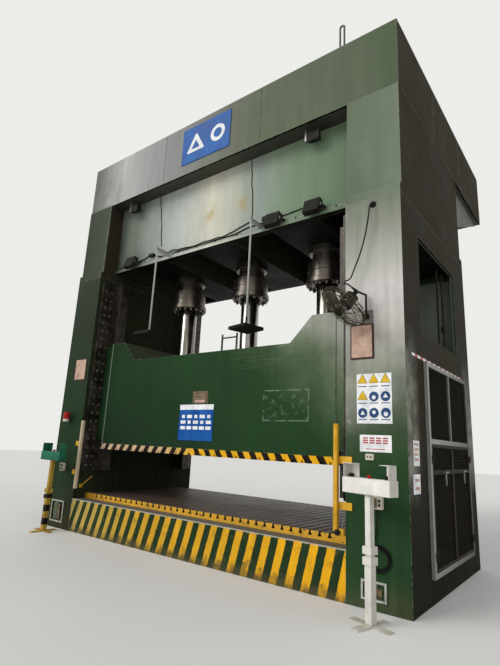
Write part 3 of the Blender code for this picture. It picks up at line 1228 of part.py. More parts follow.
def make_cords(where, pivot):
    """The fan's supply lead, and the spare cord with the coil that hangs on its hook and its plug."""
    side = where.to_3x3() @ Vector((0, -1, 0))
    fork_middle = where @ Vector((0, 0, pivot - FAN_LUG_REACH / 2 - FAN_CHEEK * 3 / 2))
    end = fork_middle + side * (FAN_LUG_LENGTH / 2 + CLEARANCE)
    route = [at(*spot) for spot in FAN_LEAD_ROUTE]
    route += [end + side * FAN_LUG_LENGTH, end + side * FAN_LEAD_RADIUS * 3, end]
    lead = tube("fan_lead", smooth_route(route, FAN_LEAD_POINTS), FAN_LEAD_RADIUS, 1)
    paint(lead, BLACK, 0.5)
    cord = tube("spare_cord", smooth_route([at(*spot) for spot in SPARE_CORD_ROUTE], SPARE_CORD_POINTS),
                SPARE_CORD_RADIUS, 1)
    paint(cord, BLACK, 0.5)
    half = SPARE_COIL_WIDTH / 2
    thick = SPARE_COIL_THICKNESS / 2
    profile = [(SPARE_COIL_RADIUS + half, thick), (SPARE_COIL_RADIUS + half, -thick),
               (SPARE_COIL_RADIUS - half, -thick), (SPARE_COIL_RADIUS - half, thick)]
    coil = turned("spare_cord_coil", profile, Vector((0, 0, 0)), TURNED_STEPS, closed=True)
    place(coil, Matrix.Translation(at(SPARE_COIL_X, -thick - CLEARANCE, SPARE_COIL_Z))
          @ Matrix.Rotation(math.radians(90), 4, "X"))
    paint(coil, BLACK, 0.6)
    tail = smooth_route([at(*spot) for spot in SPARE_TAIL_ROUTE], SPARE_TAIL_POINTS)
    plug = tube("spare_cord_plug", tail, SPARE_CORD_RADIUS, 1)
    body_top = tail[-1] + Vector((0, 0, WELD))
    body_low = body_top - Vector((0, 0, PLUG_LENGTH))
    fuse(plug, rods("plug_body", [(body_top, body_low)], PLUG_NECK_RADIUS, BUTTON_STEPS, PLUG_RADIUS))
    pins = []
    for side in (-1, 1):
        middle = body_low + Vector((side * PLUG_PIN_SPACING / 2, 0, 0))
        pins.append((middle - Vector((PLUG_PIN_WIDTH / 2, PLUG_PIN_THICKNESS / 2, PLUG_PIN_LENGTH)),
                     middle + Vector((PLUG_PIN_WIDTH / 2, PLUG_PIN_THICKNESS / 2, WELD))))
    fuse(plug, boxes("plug_pins", pins))
    paint(plug, BLACK, 0.5)


def make_socket_box():
    """The twin socket box on the right column's front face."""
    low_x, low_z = SOCKET_LOW
    high_x, high_z = SOCKET_HIGH
    socket = box("socket_box", at(low_x, -CLEARANCE - SOCKET_PROUD, low_z), at(high_x, -CLEARANCE, high_z))
    bevel(socket, SOCKET_BEVEL)
    middle_z = (low_z + high_z) / 2
    recesses = []
    for share in (1, 3):
        x = low_x + (high_x - low_x) * share / 4
        recesses.append((at(x, -SOCKET_PROUD - OVERRUN, middle_z),
                         at(x, -SOCKET_PROUD + SOCKET_RECESS_DEPTH, middle_z)))
    cut(socket, rods("socket_recesses", recesses, SOCKET_RECESS_RADIUS, BUTTON_STEPS))
    paint(socket, OFF_WHITE, 0.5)


def make_work_light(name, x, level, turn):
    """A pendant work light: a winged arm on the crown's plate, a rod and a flat square head."""
    size, thickness = LIGHT_HEAD
    head = box(name, (-size / 2, -size / 2, 0), (size / 2, size / 2, thickness))
    bevel(head, CONSOLE_BEVEL)
    place(head, Matrix.Translation(at(x, LIGHT_DEPTH, level)) @ Matrix.Rotation(turn, 4, "Z"))
    top = level + thickness
    fuse(head, rods(name + "_neck", [(at(x, LIGHT_DEPTH, top - WELD), at(x, LIGHT_DEPTH, top + LIGHT_NECK_HEIGHT))],
                    LIGHT_NECK_RADIUS, SMALL_STEPS, LIGHT_ROD_RADIUS))
    fuse(head, rods(name + "_rod", [(at(x, LIGHT_DEPTH, top), at(x, LIGHT_DEPTH, LIGHT_ROD_TOP))],
                    LIGHT_ROD_RADIUS, SMALL_STEPS))
    arm_top = LIGHT_ROD_TOP - LIGHT_ROD_RADIUS
    arm_low = arm_top - LIGHT_ARM_HEIGHT
    wall = CROWN_PLATE_SETBACK - CROWN_RAIL_DEPTH - CLEARANCE
    fuse(head, box(name + "_arm", at(x - LIGHT_ARM_THICKNESS / 2, LIGHT_DEPTH, arm_low),
                   at(x + LIGHT_ARM_THICKNESS / 2, wall, arm_top)))
    fuse(head, box(name + "_wing", at(x - LIGHT_ARM_THICKNESS, wall - LIGHT_ARM_THICKNESS, arm_low),
                   at(x + LIGHT_ARM_WING, wall, arm_top)))
    return paint(head, OFF_WHITE, 0.4)


def make_floodlight(name, crown, x, z):
    """A small floodlight that tilts between two ears of a stand on the crown's front plate."""
    width, depth, height = FLOOD_SIZE
    wall = CROWN_PLATE_SETBACK
    pivot_depth = wall - FLOOD_STANDOFF
    lamp = box(name, (-width / 2, -depth / 2, -height / 2), (width / 2, depth / 2, height / 2))
    bevel(lamp, CONSOLE_BEVEL)
    where = Matrix.Translation(at(x, pivot_depth, z)) @ Matrix.Rotation(FLOOD_LIFT, 4, "X")
    place(lamp, where)
    set_pivot(lamp, at(x, pivot_depth, z))
    fuse(lamp, rods(name + "_trunnion", [(at(x - width / 2 - FLOOD_EAR * 3 / 2, pivot_depth, z),
                                          at(x + width / 2 + FLOOD_EAR * 3 / 2, pivot_depth, z))],
                    FLOOD_PIN_RADIUS, PIN_STEPS))
    paint(lamp, BLACK, 0.5)
    ear_low = width / 2 + FLOOD_EAR / 2
    ear_high = ear_low + FLOOD_EAR
    stand = box(name + "_stand", at(x - ear_high, wall - FLOOD_EAR, z - FLOOD_EAR_HEIGHT / 2),
                at(x + ear_high, wall + WELD, z + FLOOD_EAR_HEIGHT / 2))
    fuse(stand, boxes(name + "_ears", [
        (at(x + side * ear_low, pivot_depth - FLOOD_PIN_RADIUS * 2, z - FLOOD_EAR_HEIGHT / 2),
         at(x + side * ear_high, wall - FLOOD_EAR / 2, z + FLOOD_EAR_HEIGHT / 2)) for side in (-1, 1)]))
    cut(stand, rods(name + "_ear_bores", [(at(x - ear_high - OVERRUN, pivot_depth, z),
                                           at(x + ear_high + OVERRUN, pivot_depth, z))],
                    bore_round(FLOOD_PIN_RADIUS), PIN_STEPS))
    fuse(crown, stand)


def ride(carrier, riders):
    """Parents what moves with a piece to that piece."""
    bpy.context.view_layer.update()
    for rider in riders:
        rider.parent = carrier
        rider.matrix_parent_inverse = carrier.matrix_world.inverted()


for old in list(bpy.data.objects):
    bpy.data.objects.remove(old)
PARTS = make_collection("hydraulic_press")
CUTTERS = make_collection("cutters")

make_bed()
make_table()
make_columns()
make_tie_rods()
press_crown = make_crown()
make_guides()
make_housing()
make_deck()
make_power_unit()
make_side_guards()
make_light_curtain("light_curtain_left", -1)
make_light_curtain("light_curtain_right", 1)
make_pedestal("pedestal_left", LEFT_PEDESTAL_X, LEFT_PEDESTAL_DISTANCE, 0.0, TURQUOISE)
make_pedestal("pedestal_right", RIGHT_PEDESTAL_X, RIGHT_PEDESTAL_DISTANCE, RIGHT_PEDESTAL_TURN, OFF_WHITE)
make_socket_box()
for light_side, light_name, light_level, light_turn in zip((-1, 1), ("left", "right"), LIGHT_LEVELS, LIGHT_TURNS):
    make_work_light("work_light_" + light_name, light_side * LIGHT_X, light_level, light_turn)
for flood_name, (flood_x, flood_z) in zip(("left", "middle", "right"), FLOOD_PLACES):
    make_floodlight("floodlight_" + flood_name, press_crown, flood_x, flood_z)
press_slide = make_slide()
slide_riders = [make_slide_plate()]
for row_name, cylinder_x in zip(("left", "middle", "right"), CYLINDER_XS):
    make_cylinder("cylinder_" + row_name, cylinder_x)
    slide_riders.append(make_plunger("plunger_" + row_name, cylinder_x))
ride(press_slide, slide_riders)
FAN_PLACE = fan_frame()
FAN_PIVOT = make_fan_head(FAN_PLACE)
make_fan_blades(FAN_PLACE)
make_fan_bracket(FAN_PLACE, FAN_PIVOT)
make_cords(FAN_PLACE, FAN_PIVOT)
bpy.context.view_layer.update()
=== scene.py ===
# %% [markdown]
# # A large hydraulic press, dressed for a render
# The press stands about seven metres tall: two columns, a crown, a slide on three
# plungers and a bed with a slotted table. The solids come in as a fixed frame. This
# lesson gives each of them a finish and adds what is too fine for the solids: bolts,
# wire mesh, boards, cables and conduits.

# %% Load the frame
import math

import bmesh
import bpy
import numpy as np
from mathutils import Matrix, Vector


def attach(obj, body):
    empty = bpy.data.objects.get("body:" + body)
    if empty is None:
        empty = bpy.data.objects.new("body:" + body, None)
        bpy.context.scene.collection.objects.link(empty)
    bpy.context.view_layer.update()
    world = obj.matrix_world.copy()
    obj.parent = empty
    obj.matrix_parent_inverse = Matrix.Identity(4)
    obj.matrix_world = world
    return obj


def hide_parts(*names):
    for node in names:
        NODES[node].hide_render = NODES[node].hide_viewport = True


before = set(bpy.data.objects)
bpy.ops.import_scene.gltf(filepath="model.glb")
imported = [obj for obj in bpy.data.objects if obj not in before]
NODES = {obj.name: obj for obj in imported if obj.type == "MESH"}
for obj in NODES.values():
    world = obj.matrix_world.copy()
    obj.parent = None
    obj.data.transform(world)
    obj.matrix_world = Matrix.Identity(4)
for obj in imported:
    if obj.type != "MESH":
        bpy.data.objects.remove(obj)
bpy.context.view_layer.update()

FRONT_Y = -1.898401407

# %% [markdown]
# ## The camera
# The photograph was taken from eye height, to the right of the press and close to it,
# with a wide lens that looks up a little. A rotation matrix whose columns are the
# camera's right, up and backward directions says this without any angles. The sensor
# fits the width, because the picture is upright.

# %% Camera
RIGHT = np.array([0.79603, 0.60341, 0.04722])
UP = np.array([0.10474, -0.21418, 0.97116])
FORWARD = np.array([-0.59612, 0.76813, 0.23369])
EYE = (4.705, -6.575, 1.475)

camera_data = bpy.data.cameras.new("camera")
camera_data.sensor_fit = "HORIZONTAL"
camera_data.sensor_width = 36.0
camera_data.lens = 33.58
camera_data.clip_end = 200.0
camera = bpy.data.objects.new("camera", camera_data)
turn = np.eye(4)
turn[:3, :3] = np.column_stack([RIGHT, UP, -FORWARD])
turn[:3, 3] = EYE
camera.matrix_world = Matrix(turn.tolist())
bpy.context.scene.collection.objects.link(camera)
bpy.context.scene.camera = camera
bpy.context.scene.view_settings.view_transform = "Standard"
print("camera at", EYE, "lens", camera_data.lens)

# %% [markdown]
# ## The two cords
# A cord has a real length, so its path comes before its looks. The fan's lead leaves
# the hole high on the right column and hangs down to the fan's fork. The spare cord
# hangs from the socket box and is wound into five turns on a hook. A curve object
# with a round bevel is the plainest way to draw either: the path stays editable, and
# its length can be measured.

# %% Paths of the cords
def smooth_path(points, count):
    """Catmull-Rom curve: between two points, a cubic that passes both with the slope of their neighbours."""
    p = np.array(points, float)
    p = np.vstack([2 * p[0] - p[1], p, 2 * p[-1] - p[-2]])
    s = np.linspace(0, len(points) - 1, count)
    i = np.minimum(s.astype(int), len(points) - 2)
    t = (s - i)[:, None]
    a, b, c, d = p[i], p[i + 1], p[i + 2], p[i + 3]
    return (2 * b + (c - a) * t + (2 * a - 5 * b + 4 * c - d) * t ** 2 + (3 * b - a - 3 * c + d) * t ** 3) / 2


def even_path(points, count):
    """The same curve with its points at equal distances: it is drawn finely, and lengths along it are inverted."""
    fine = smooth_path(points, 100 * count)
    along = np.concatenate([[0], np.cumsum(np.linalg.norm(np.diff(fine, axis=0), axis=1))])
    wanted = np.linspace(0, along[-1], count)
    return np.stack([np.interp(wanted, along, fine[:, k]) for k in range(3)], 1)


def spot(x, depth, z):
    """A point of the press: x from its middle, depth behind the columns' front, height."""
    return np.array([x, FRONT_Y + depth, z])


def path_length(points):
    """Sum of the distances between neighbouring points."""
    return float(np.linalg.norm(np.diff(points, axis=0), axis=1).sum())


FAN_AIM = np.array([-0.46, -0.42, -0.78])
FAN_AIM = FAN_AIM / np.linalg.norm(FAN_AIM)
FAN_LEVEL = np.cross(FAN_AIM, [0, 0, 1])
FAN_LEVEL = FAN_LEVEL / np.linalg.norm(FAN_LEVEL)
FAN_THIRD = np.cross(FAN_AIM, FAN_LEVEL)
FAN_CENTRE = spot(2.552, -0.31, 2.955)


def fan_spot(a, b, c):
    """A point in the fan's own frame: level, third and along the air stream."""
    a, b, c = np.broadcast_arrays(*(np.asarray(v, float)[..., None] for v in (a, b, c)))
    return FAN_CENTRE + a * FAN_LEVEL + b * FAN_THIRD + c * FAN_AIM


FORK_AT, FORK_RADIUS = -0.2433, 0.0253
LEAD_RADIUS = 0.008
lead_end = fan_spot(0, 0, FORK_AT) - FAN_THIRD * FORK_RADIUS
lead_route = [spot(*p) for p in (
    (2.780, 0.028, 4.242), (2.780, -0.005, 4.242), (2.7795, -0.044, 4.234), (2.778, -0.076, 4.208),
    (2.775, -0.092, 4.165), (2.768, -0.093, 4.110), (2.750, -0.086, 4.010), (2.720, -0.079, 3.870),
    (2.688, -0.081, 3.740), (2.640, -0.092, 3.580), (2.592, -0.105, 3.450), (2.5472, -0.1139, 3.3401),
    (2.5134, -0.1662, 3.3025), (2.5299, -0.2237, 3.2455), (2.5588, -0.256, 3.2389))]
lead_route += [lead_end - FAN_THIRD * 0.075, lead_end - FAN_THIRD * 0.035, lead_end]
lead_path = even_path(lead_route, 36)

CORD_RADIUS = 0.006
COIL_RADIUS = 0.108
COIL_CENTRE = spot(2.785, -0.0128, 0.47)
drop_path = smooth_path([spot(*p) for p in (
    (2.787, -0.028, 0.9205), (2.787, -0.028, 0.885), (2.781, -0.027, 0.820), (2.772, -0.023, 0.740),
    (2.7635, -0.0192, 0.680), (2.7488, -0.0189, 0.6323), (2.7228, -0.0189, 0.5873), (2.7030, -0.0189, 0.5530))], 18)


def coil_path(turns, start, slots, per_turn, shift):
    """Circle in the wall's plane. Each turn keeps one slot of the bundle, given as its offset outwards and from
    the wall. The last turn changes slot first, so that every turn moves into a slot that has just been left."""
    angle = np.linspace(start, start + 2 * math.pi * turns, int(per_turn * turns) + 1)
    turned = (angle - start) / (2 * math.pi)
    moved = np.zeros(len(angle))
    count = len(slots) - 1
    for k in range(count):
        t = np.clip((turned - k - shift * (count - k)) / shift, 0, 1)
        moved = moved + t * t * (3 - 2 * t)
    low = np.minimum(moved.astype(int), count - 1)
    f = (moved - low)[:, None]
    offsets = np.array(slots, float)
    offset = offsets[low] * (1 - f) + offsets[low + 1] * f
    r = COIL_RADIUS + offset[:, 0]
    return COIL_CENTRE + np.stack([r * np.cos(angle), offset[:, 1], r * np.sin(angle)], 1)


TURNS, STEP, LAYER = 5.06, 0.0122, 0.0061
slots = [(STEP, -LAYER), (0, -LAYER), (-STEP, -LAYER), (-STEP, LAYER), (0, LAYER), (STEP, LAYER)]
turns_path = coil_path(TURNS, math.radians(150), slots, per_turn=24, shift=0.14)
tail_path = smooth_path([turns_path[-1]] + [spot(*p) for p in (
    (2.6645, -0.0065, 0.450), (2.6640, -0.0063, 0.408), (2.6640, -0.0063, 0.386), (2.6640, -0.0090, 0.365),
    (2.6645, -0.0160, 0.338), (2.6650, -0.0200, 0.310))], 10)
spare_path = np.vstack([drop_path, turns_path, tail_path[1:]])
print("fan lead", round(path_length(lead_path), 3), "m, spare cord", round(path_length(spare_path), 3), "m")


# %% Cords as curves
def cord_curve(name, points, radius):
    """A curve of one open spline. Its bevel is a circle of one metre, which each point's own radius scales down."""
    data = bpy.data.curves.new(name, "CURVE")
    data.dimensions = "3D"
    spline = data.splines.new("POLY")
    spline.points.add(len(points) - 1)
    spline.points.foreach_set("co", np.column_stack([points, np.ones(len(points))]).ravel())
    spline.points.foreach_set("radius", np.full(len(points), radius))
    spline.use_smooth = True
    data.bevel_depth = 1.0
    data.bevel_resolution = 3
    data.use_fill_caps = True
    obj = bpy.data.objects.new(name, data)
    bpy.context.scene.collection.objects.link(obj)
    return obj


fan_lead = cord_curve("fan_supply_lead", lead_path, LEAD_RADIUS)
spare_cord = cord_curve("spare_cord_on_hook", spare_path, CORD_RADIUS)
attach(fan_lead, "frame")
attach(spare_cord, "frame")
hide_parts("fan_lead")
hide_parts("spare_cord", "spare_cord_coil")
print("cords placed")

# %% [markdown]
# ## Floor, background and light
# A pale floor and a pale world keep the eye on the press. The light is soft and plain:
# an even sky and two wide suns. The key light comes from the front left, so the front
# takes the light and the right side stays darker, as it is in the workshop. The
# camera, and whatever is mirrored in metal, sees a brighter background than the one
# that lights the press: Light Path tells these rays apart.

# %% Colour from hex, and one helper for nodes
def hex_linear(code):
    """sRGB to linear: a share of 12.92 below 0.04045, and the 2.4 power law above it."""
    rgb = np.array([int(code[i:i + 2], 16) for i in (1, 3, 5)]) / 255
    linear = np.where(rgb <= 0.04045, rgb / 12.92, ((rgb + 0.055) / 1.055) ** 2.4)
    return (*linear.tolist(), 1.0)


def add(tree, kind, inputs=(), **settings):
    """Adds a shader node with its settings. Inputs go by name or number, or in order from the first. An input is a
    value, a hex colour, a socket, or a node, which gives its first output in use."""
    made = tree.nodes.new("ShaderNode" + kind)
    for key, value in settings.items():
        setattr(made, key, value)
    for key, value in inputs.items() if isinstance(inputs, dict) else enumerate(inputs):
        if isinstance(value, bpy.types.Node):
            value = next(socket for socket in value.outputs if socket.enabled)
        if isinstance(value, bpy.types.NodeSocket):
            tree.links.new(value, made.inputs[key])
        else:
            made.inputs[key].default_value = hex_linear(value) if isinstance(value, str) else value
    return made


def set_stops(node, stops):
    """Puts stops on a colour ramp: each is a share from 0 to 1 and a hex colour."""
    elements = node.color_ramp.elements
    elements[0].position, elements[0].color = stops[0][0], hex_linear(stops[0][1])
    elements[1].position, elements[1].color = stops[-1][0], hex_linear(stops[-1][1])
    for share, code in stops[1:-1]:
        elements.new(share).color = hex_linear(code)


def new_material(name):
    """An empty node material and its tree."""
    material = bpy.data.materials.new(name)
    material.use_nodes = True
    material.node_tree.nodes.clear()
    return material, material.node_tree


def per_mm(size):
    """Cycles per metre of a pattern whose features are that many millimetres apart."""
    return 1000.0 / size


# %% World, suns and floor
world = bpy.data.worlds.new("studio")
bpy.context.scene.world = world
world.use_nodes = True
tree = world.node_tree
tree.nodes.clear()
rays = add(tree, "LightPath").outputs
seen = add(tree, "Math", [rays["Is Camera Ray"], rays["Is Glossy Ray"]], operation="MAXIMUM")
seen = add(tree, "Math", [seen, rays["Is Transmission Ray"]], operation="MAXIMUM")
sky = add(tree, "Background", {"Color": "#f4f6fa", "Strength": 0.62})
backdrop = add(tree, "Background", {"Color": "#f2f2ef", "Strength": 0.95})
add(tree, "OutputWorld", {"Surface": add(tree, "MixShader", [seen, sky, backdrop])})


def sun(name, strength, direction, angle):
    """A wide sun that shines along a direction."""
    data = bpy.data.lights.new(name, "SUN")
    data.energy = strength
    data.angle = math.radians(angle)
    obj = bpy.data.objects.new(name, data)
    obj.rotation_euler = Vector(direction).to_track_quat("-Z", "Y").to_euler()
    bpy.context.scene.collection.objects.link(obj)


sun("key_light", 1.5, (0.50, 0.80, -0.62), 32)
sun("fill_light", 0.35, (-0.75, 0.35, -0.40), 60)


def put_mesh(name, points, faces):
    """A mesh object from an array of points and a list of faces."""
    data = bpy.data.meshes.new(name)
    data.from_pydata(np.asarray(points, float).tolist(), [], [list(f) for f in faces])
    data.update()
    obj = bpy.data.objects.new(name, data)
    bpy.context.scene.collection.objects.link(obj)
    return obj


FLOOR_REACH = 40
material, tree = new_material("pale_studio_floor")
coords = add(tree, "TexCoord")
cloud = add(tree, "TexNoise", {"Vector": coords.outputs["Object"], "Scale": per_mm(2200), "Detail": 3.0})
tone = add(tree, "ValToRGB", [cloud])
set_stops(tone, [(0, "#dcdad5"), (1, "#e6e4df")])
shader = add(tree, "BsdfPrincipled", {"Base Color": tone, "Roughness": 0.7})
add(tree, "OutputMaterial", {"Surface": shader})
floor = put_mesh("floor", [(x * FLOOR_REACH, y * FLOOR_REACH, 0)
                           for x, y in ((-1, -1), (1, -1), (1, 1), (-1, 1))],
                 [(0, 1, 2, 3)])
floor.data.materials.append(material)
print("floor and lights ready")

# %% [markdown]
# ## Coats: one recipe for paint, metal and plastic
# Most of the press is sprayed with green alkyd enamel that has stood in a workshop for
# years. Its gloss has gone blotchy, oil mist has run down it, pale dust lies on the
# upper parts and the edges are chipped. The upper parts are also paler by a painted
# sheen, where the glossy paint mirrors the room. All finishes here share that build:
# tones along a direction, clouds, runs, a painted shade on faces that look sideways
# and down, worn edges, uneven gloss and a fine relief. So one function mixes them, and
# each finish gives the values.
# A pattern is a list of layers, each a share of its colour that shows, and a share is
# mostly a product of limits: how near to an edge, how high up, how deep in the noise.

# %% Shares, distances and streaks
def within(tree, *limits):
    """The product of limits. A limit is a share, or a value, the two places between which it fades in, and the
    most that it gives when that isn't 1."""
    share = None
    for limit in limits:
        if isinstance(limit, tuple):
            value, start, end, *most = limit
            limit = add(tree, "MapRange", [value, start, end, 0.0, *(most or [1.0])])
        share = add(tree, "Math", [share, limit], operation="MULTIPLY") if share else limit
    return share


def distance(tree, value, middle):
    """How far a value is from a middle, to either side."""
    return add(tree, "Math", [add(tree, "Math", [value, middle], operation="SUBTRACT")], operation="ABSOLUTE")


def streaked(tree, here, across, deep, down, detail=3.0):
    """Noise whose features are that many millimetres long along x, y and z."""
    stretched = add(tree, "Mapping", {"Vector": here, "Scale": (per_mm(across), per_mm(deep), per_mm(down))})
    return add(tree, "TexNoise", {"Vector": stretched, "Scale": 1.0, "Detail": detail})


def lay(tree, ground, layers):
    """Lays colours on a ground. Each comes with its share; a share without a colour scales the brightness."""
    for share, colour in layers:
        if colour is None:
            ground = add(tree, "VectorMath", {0: ground, "Scale": share}, operation="SCALE")
        else:
            ground = add(tree, "Mix", {0: share, 6: ground, 7: colour}, data_type="RGBA")
    return ground


# %% The coat
SLOTS = {}
TURNED = (0.45, 0.75)
BEHIND = (FRONT_Y + 1.0, FRONT_Y + 1.3)


def coat(name, tones, along=None, cloud=700, wander=0.18, runs=0.12, run_size=(70, 1500), side=None, top=None,
         under=None, behind=None, worn=None, edge=9, rough=(0.45, 0.68), metallic=0.0, sheen=0.07, relief=16,
         height=0.0006, paint=None, over=None, slot=None):
    """Colour by place along a direction, or by the clouds alone when there is none. The place is shifted by the
    clouds, then streaks that hang down scale the brightness. Side, top, under and behind are the tones of faces
    that look sideways, up, down, or lie deep behind the front. Side and under are painted shade, darker where
    less light falls; top is dust; behind is also painted shade inside the crown's cells. Worn is the tone of
    chipped edges, found where a rounded normal departs from the true one. Sheen is the specular level: old
    paint has lost most of its own.
    Paint gives layers on the ground colour, and over gives layers on top of the side tones. Slot is kept in SLOTS
    under the coat's name."""
    material, tree = new_material(name)
    SLOTS[material.name] = slot
    coords = add(tree, "TexCoord")
    here = coords.outputs["Object"]
    at = add(tree, "SeparateXYZ", [here]).outputs
    facing = add(tree, "SeparateXYZ", [coords.outputs["Normal"]]).outputs
    clouds = add(tree, "TexNoise", {"Vector": here, "Scale": per_mm(cloud), "Detail": 4.0, "Roughness": 0.6})
    if along:
        place = add(tree, "VectorMath", [here, along], operation="DOT_PRODUCT")
        place = add(tree, "Math", [place, add(tree, "MapRange", [clouds, 0.3, 0.7, -wander, wander])])
        first, last = tones[0][0], tones[-1][0]
        stops = [((stop - first) / (last - first), code) for stop, code in tones]
    else:
        place, first, last = clouds, 0.32, 0.68
        stops = [(k / (len(tones) - 1), code) for k, code in enumerate(tones)]
    colour = add(tree, "ValToRGB", [add(tree, "MapRange", [place, first, last])])
    set_stops(colour, stops)
    if paint:
        colour = lay(tree, colour, paint(tree, here, at, facing))
    sideways = add(tree, "Math", [facing[0]], operation="ABSOLUTE")
    # Painted shade: the side and under tones darken faces that look sideways and down, where less light falls, and
    # behind darkens the crown's cells. The top tone is dust.
    for code, value, start, end in ((behind, at[1], *BEHIND), (side, sideways, *TURNED), (top, facing[2], *TURNED),
                                    (under, facing[2], -TURNED[0], -TURNED[1])):
        if code:
            colour = lay(tree, colour, [(within(tree, (value, start, end)), code)])
    if over:
        colour = lay(tree, colour, over(tree, here, at, facing))
    across, down = run_size
    light = add(tree, "MapRange", [streaked(tree, here, across, across, down), 0.3, 0.7, 1 - runs, 1 + runs])
    blotch = add(tree, "MapRange", [clouds, 0.3, 0.7, 0.9, 1.1])
    colour = lay(tree, colour, [(within(tree, light, blotch), None)])
    if worn:
        rounded = add(tree, "Bevel", {"Radius": edge / 1000}, samples=4)
        flat = add(tree, "NewGeometry").outputs["Normal"]
        match = add(tree, "VectorMath", [rounded, flat], operation="DOT_PRODUCT")
        chips = add(tree, "TexNoise", {"Vector": here, "Scale": per_mm(45), "Detail": 3.0})
        colour = lay(tree, colour, [(within(tree, (match, 0.97, 0.86), (chips, 0.46, 0.56)), worn)])
    fine = add(tree, "TexNoise", {"Vector": here, "Scale": per_mm(relief), "Detail": 4.0})
    level = 0.5 if metallic else sheen
    if side and not metallic:
        level = add(tree, "MapRange", [sideways, *TURNED, sheen, 0.01])
    shader = add(tree, "BsdfPrincipled", {
        "Base Color": colour, "Roughness": add(tree, "MapRange", [clouds, 0.3, 0.7, *rough]), "Metallic": metallic,
        "Specular IOR Level": level,
        "Normal": add(tree, "Bump", {"Height": fine, "Strength": 0.5, "Distance": height})})
    add(tree, "OutputMaterial", {"Surface": shader})
    return material


def dress(material, *names):
    """Gives a finish to solids of the frame."""
    for name in names:
        NODES[name].material_slots[0].material = material
    print(material.name, "on", len(names), "solids")


# %% [markdown]
# ## Green enamel
# The paint is one green everywhere, but the eye sees it change over the press: deep
# and oily low down, and greyed above by a pale film of dust, where hands and rags never
# reach, and by a painted sheen: the glossy paint mirrors the bright room, and that
# reflection is painted into the colour. The sheen and dust are strongest in the middle of
# the crown and high on the right column. A ramp along one direction for each solid
# follows that, because the change is so gradual.

# %% Scuffs on the right column, and painted light in its window
UPRIGHT, LEVEL = (0, 0, 1), (1, 0, 0)


def column_scuffs_and_window_light(tree, here, at, facing):
    """Layers: pale scuffs beside the inner edge of the front, and two rubbed zones on the side face where people
    lean. Low on that face it turns darker towards the floor. The walls inside its window are painted lighter:
    painted light, where daylight falls in there."""
    noise = add(tree, "TexNoise", {"Vector": here, "Scale": per_mm(170), "Detail": 6.0, "Roughness": 0.65})
    outer = within(tree, (facing[0], 0.5, 0.7))
    front_face = add(tree, "Math", [1.0, outer], operation="SUBTRACT")
    chip = within(tree, (at[0], 2.51, 2.455), (noise, 0.57, 0.62, 0.85), front_face)
    front = within(tree, (at[1], FRONT_Y + 0.40, FRONT_Y + 0.12))
    rear = within(tree, (at[1], FRONT_Y + 2.26, FRONT_Y + 2.42, 0.8))
    zones = add(tree, "Math", [front, rear], operation="MAXIMUM")
    cloud = add(tree, "MapRange", [noise, 0.36, 0.60, 0.25, 1.0])
    rubbed = within(tree, outer, zones, (at[2], 0.95, 1.30), (at[2], 2.85, 2.05), cloud)
    yield add(tree, "Math", [chip, rubbed], operation="MAXIMUM"), "#95968c"
    yield within(tree, (at[2], 1.5, 0.5, 0.75), outer), "#1d2019"
    # Painted light: the walls inside the window are lighter where daylight falls in.
    yield within(tree, (at[0], 3.08, 3.05), (at[1], FRONT_Y + 0.50, FRONT_Y + 0.52),
                 (at[1], FRONT_Y + 2.62, FRONT_Y + 2.60), (at[2], 2.78, 2.80), (at[2], 4.03, 4.01)), "#8b9186"


# %% Enamel on the columns
# Painted sheen: the pale tones from about 1.9 m up are partly dust and partly the glossy paint's reflection. Side
# and under are painted shade.
dress(coat("green_enamel_right_column", [
    (0.0, "#414c33"), (0.10, "#34482d"), (0.28, "#264226"), (0.90, "#244025"), (1.30, "#284427"), (1.50, "#31482d"),
    (1.70, "#3f4f38"), (1.90, "#5a6351"), (2.10, "#747a6c"), (2.30, "#878c7c"), (2.55, "#a6a59a"), (2.80, "#c0bcb5"),
    (3.15, "#d2cdc8"), (3.60, "#abada1"), (4.10, "#8c9083"), (4.40, "#747a6a")], along=UPRIGHT, side="#36332a",
    behind="#32472d", top="#5b5f50", under="#14170f", worn="#8d8a80", runs=0.10,
    over=column_scuffs_and_window_light), "column_right")
dress(coat("green_enamel_left_column", [
    (0.0, "#3a3522"), (0.30, "#29321f"), (0.75, "#1e321c"), (1.40, "#1b321b"), (2.0, "#1e341c"), (2.6, "#22331f"),
    (3.4, "#273123"), (4.4, "#2f372a")], along=UPRIGHT, side="#2c3323", behind="#2f4429", top="#5b5f50",
    under="#14170f", worn="#77756b", runs=0.14), "column_left")

# %% Scrapes and a painted highlight on the slide
BOARD_MARK_X, BOARD_MARK_Z = (1.49, 0.333), (1.98, 0.19)
SLIDE_EDGE_HIGHLIGHT_X = -2.155


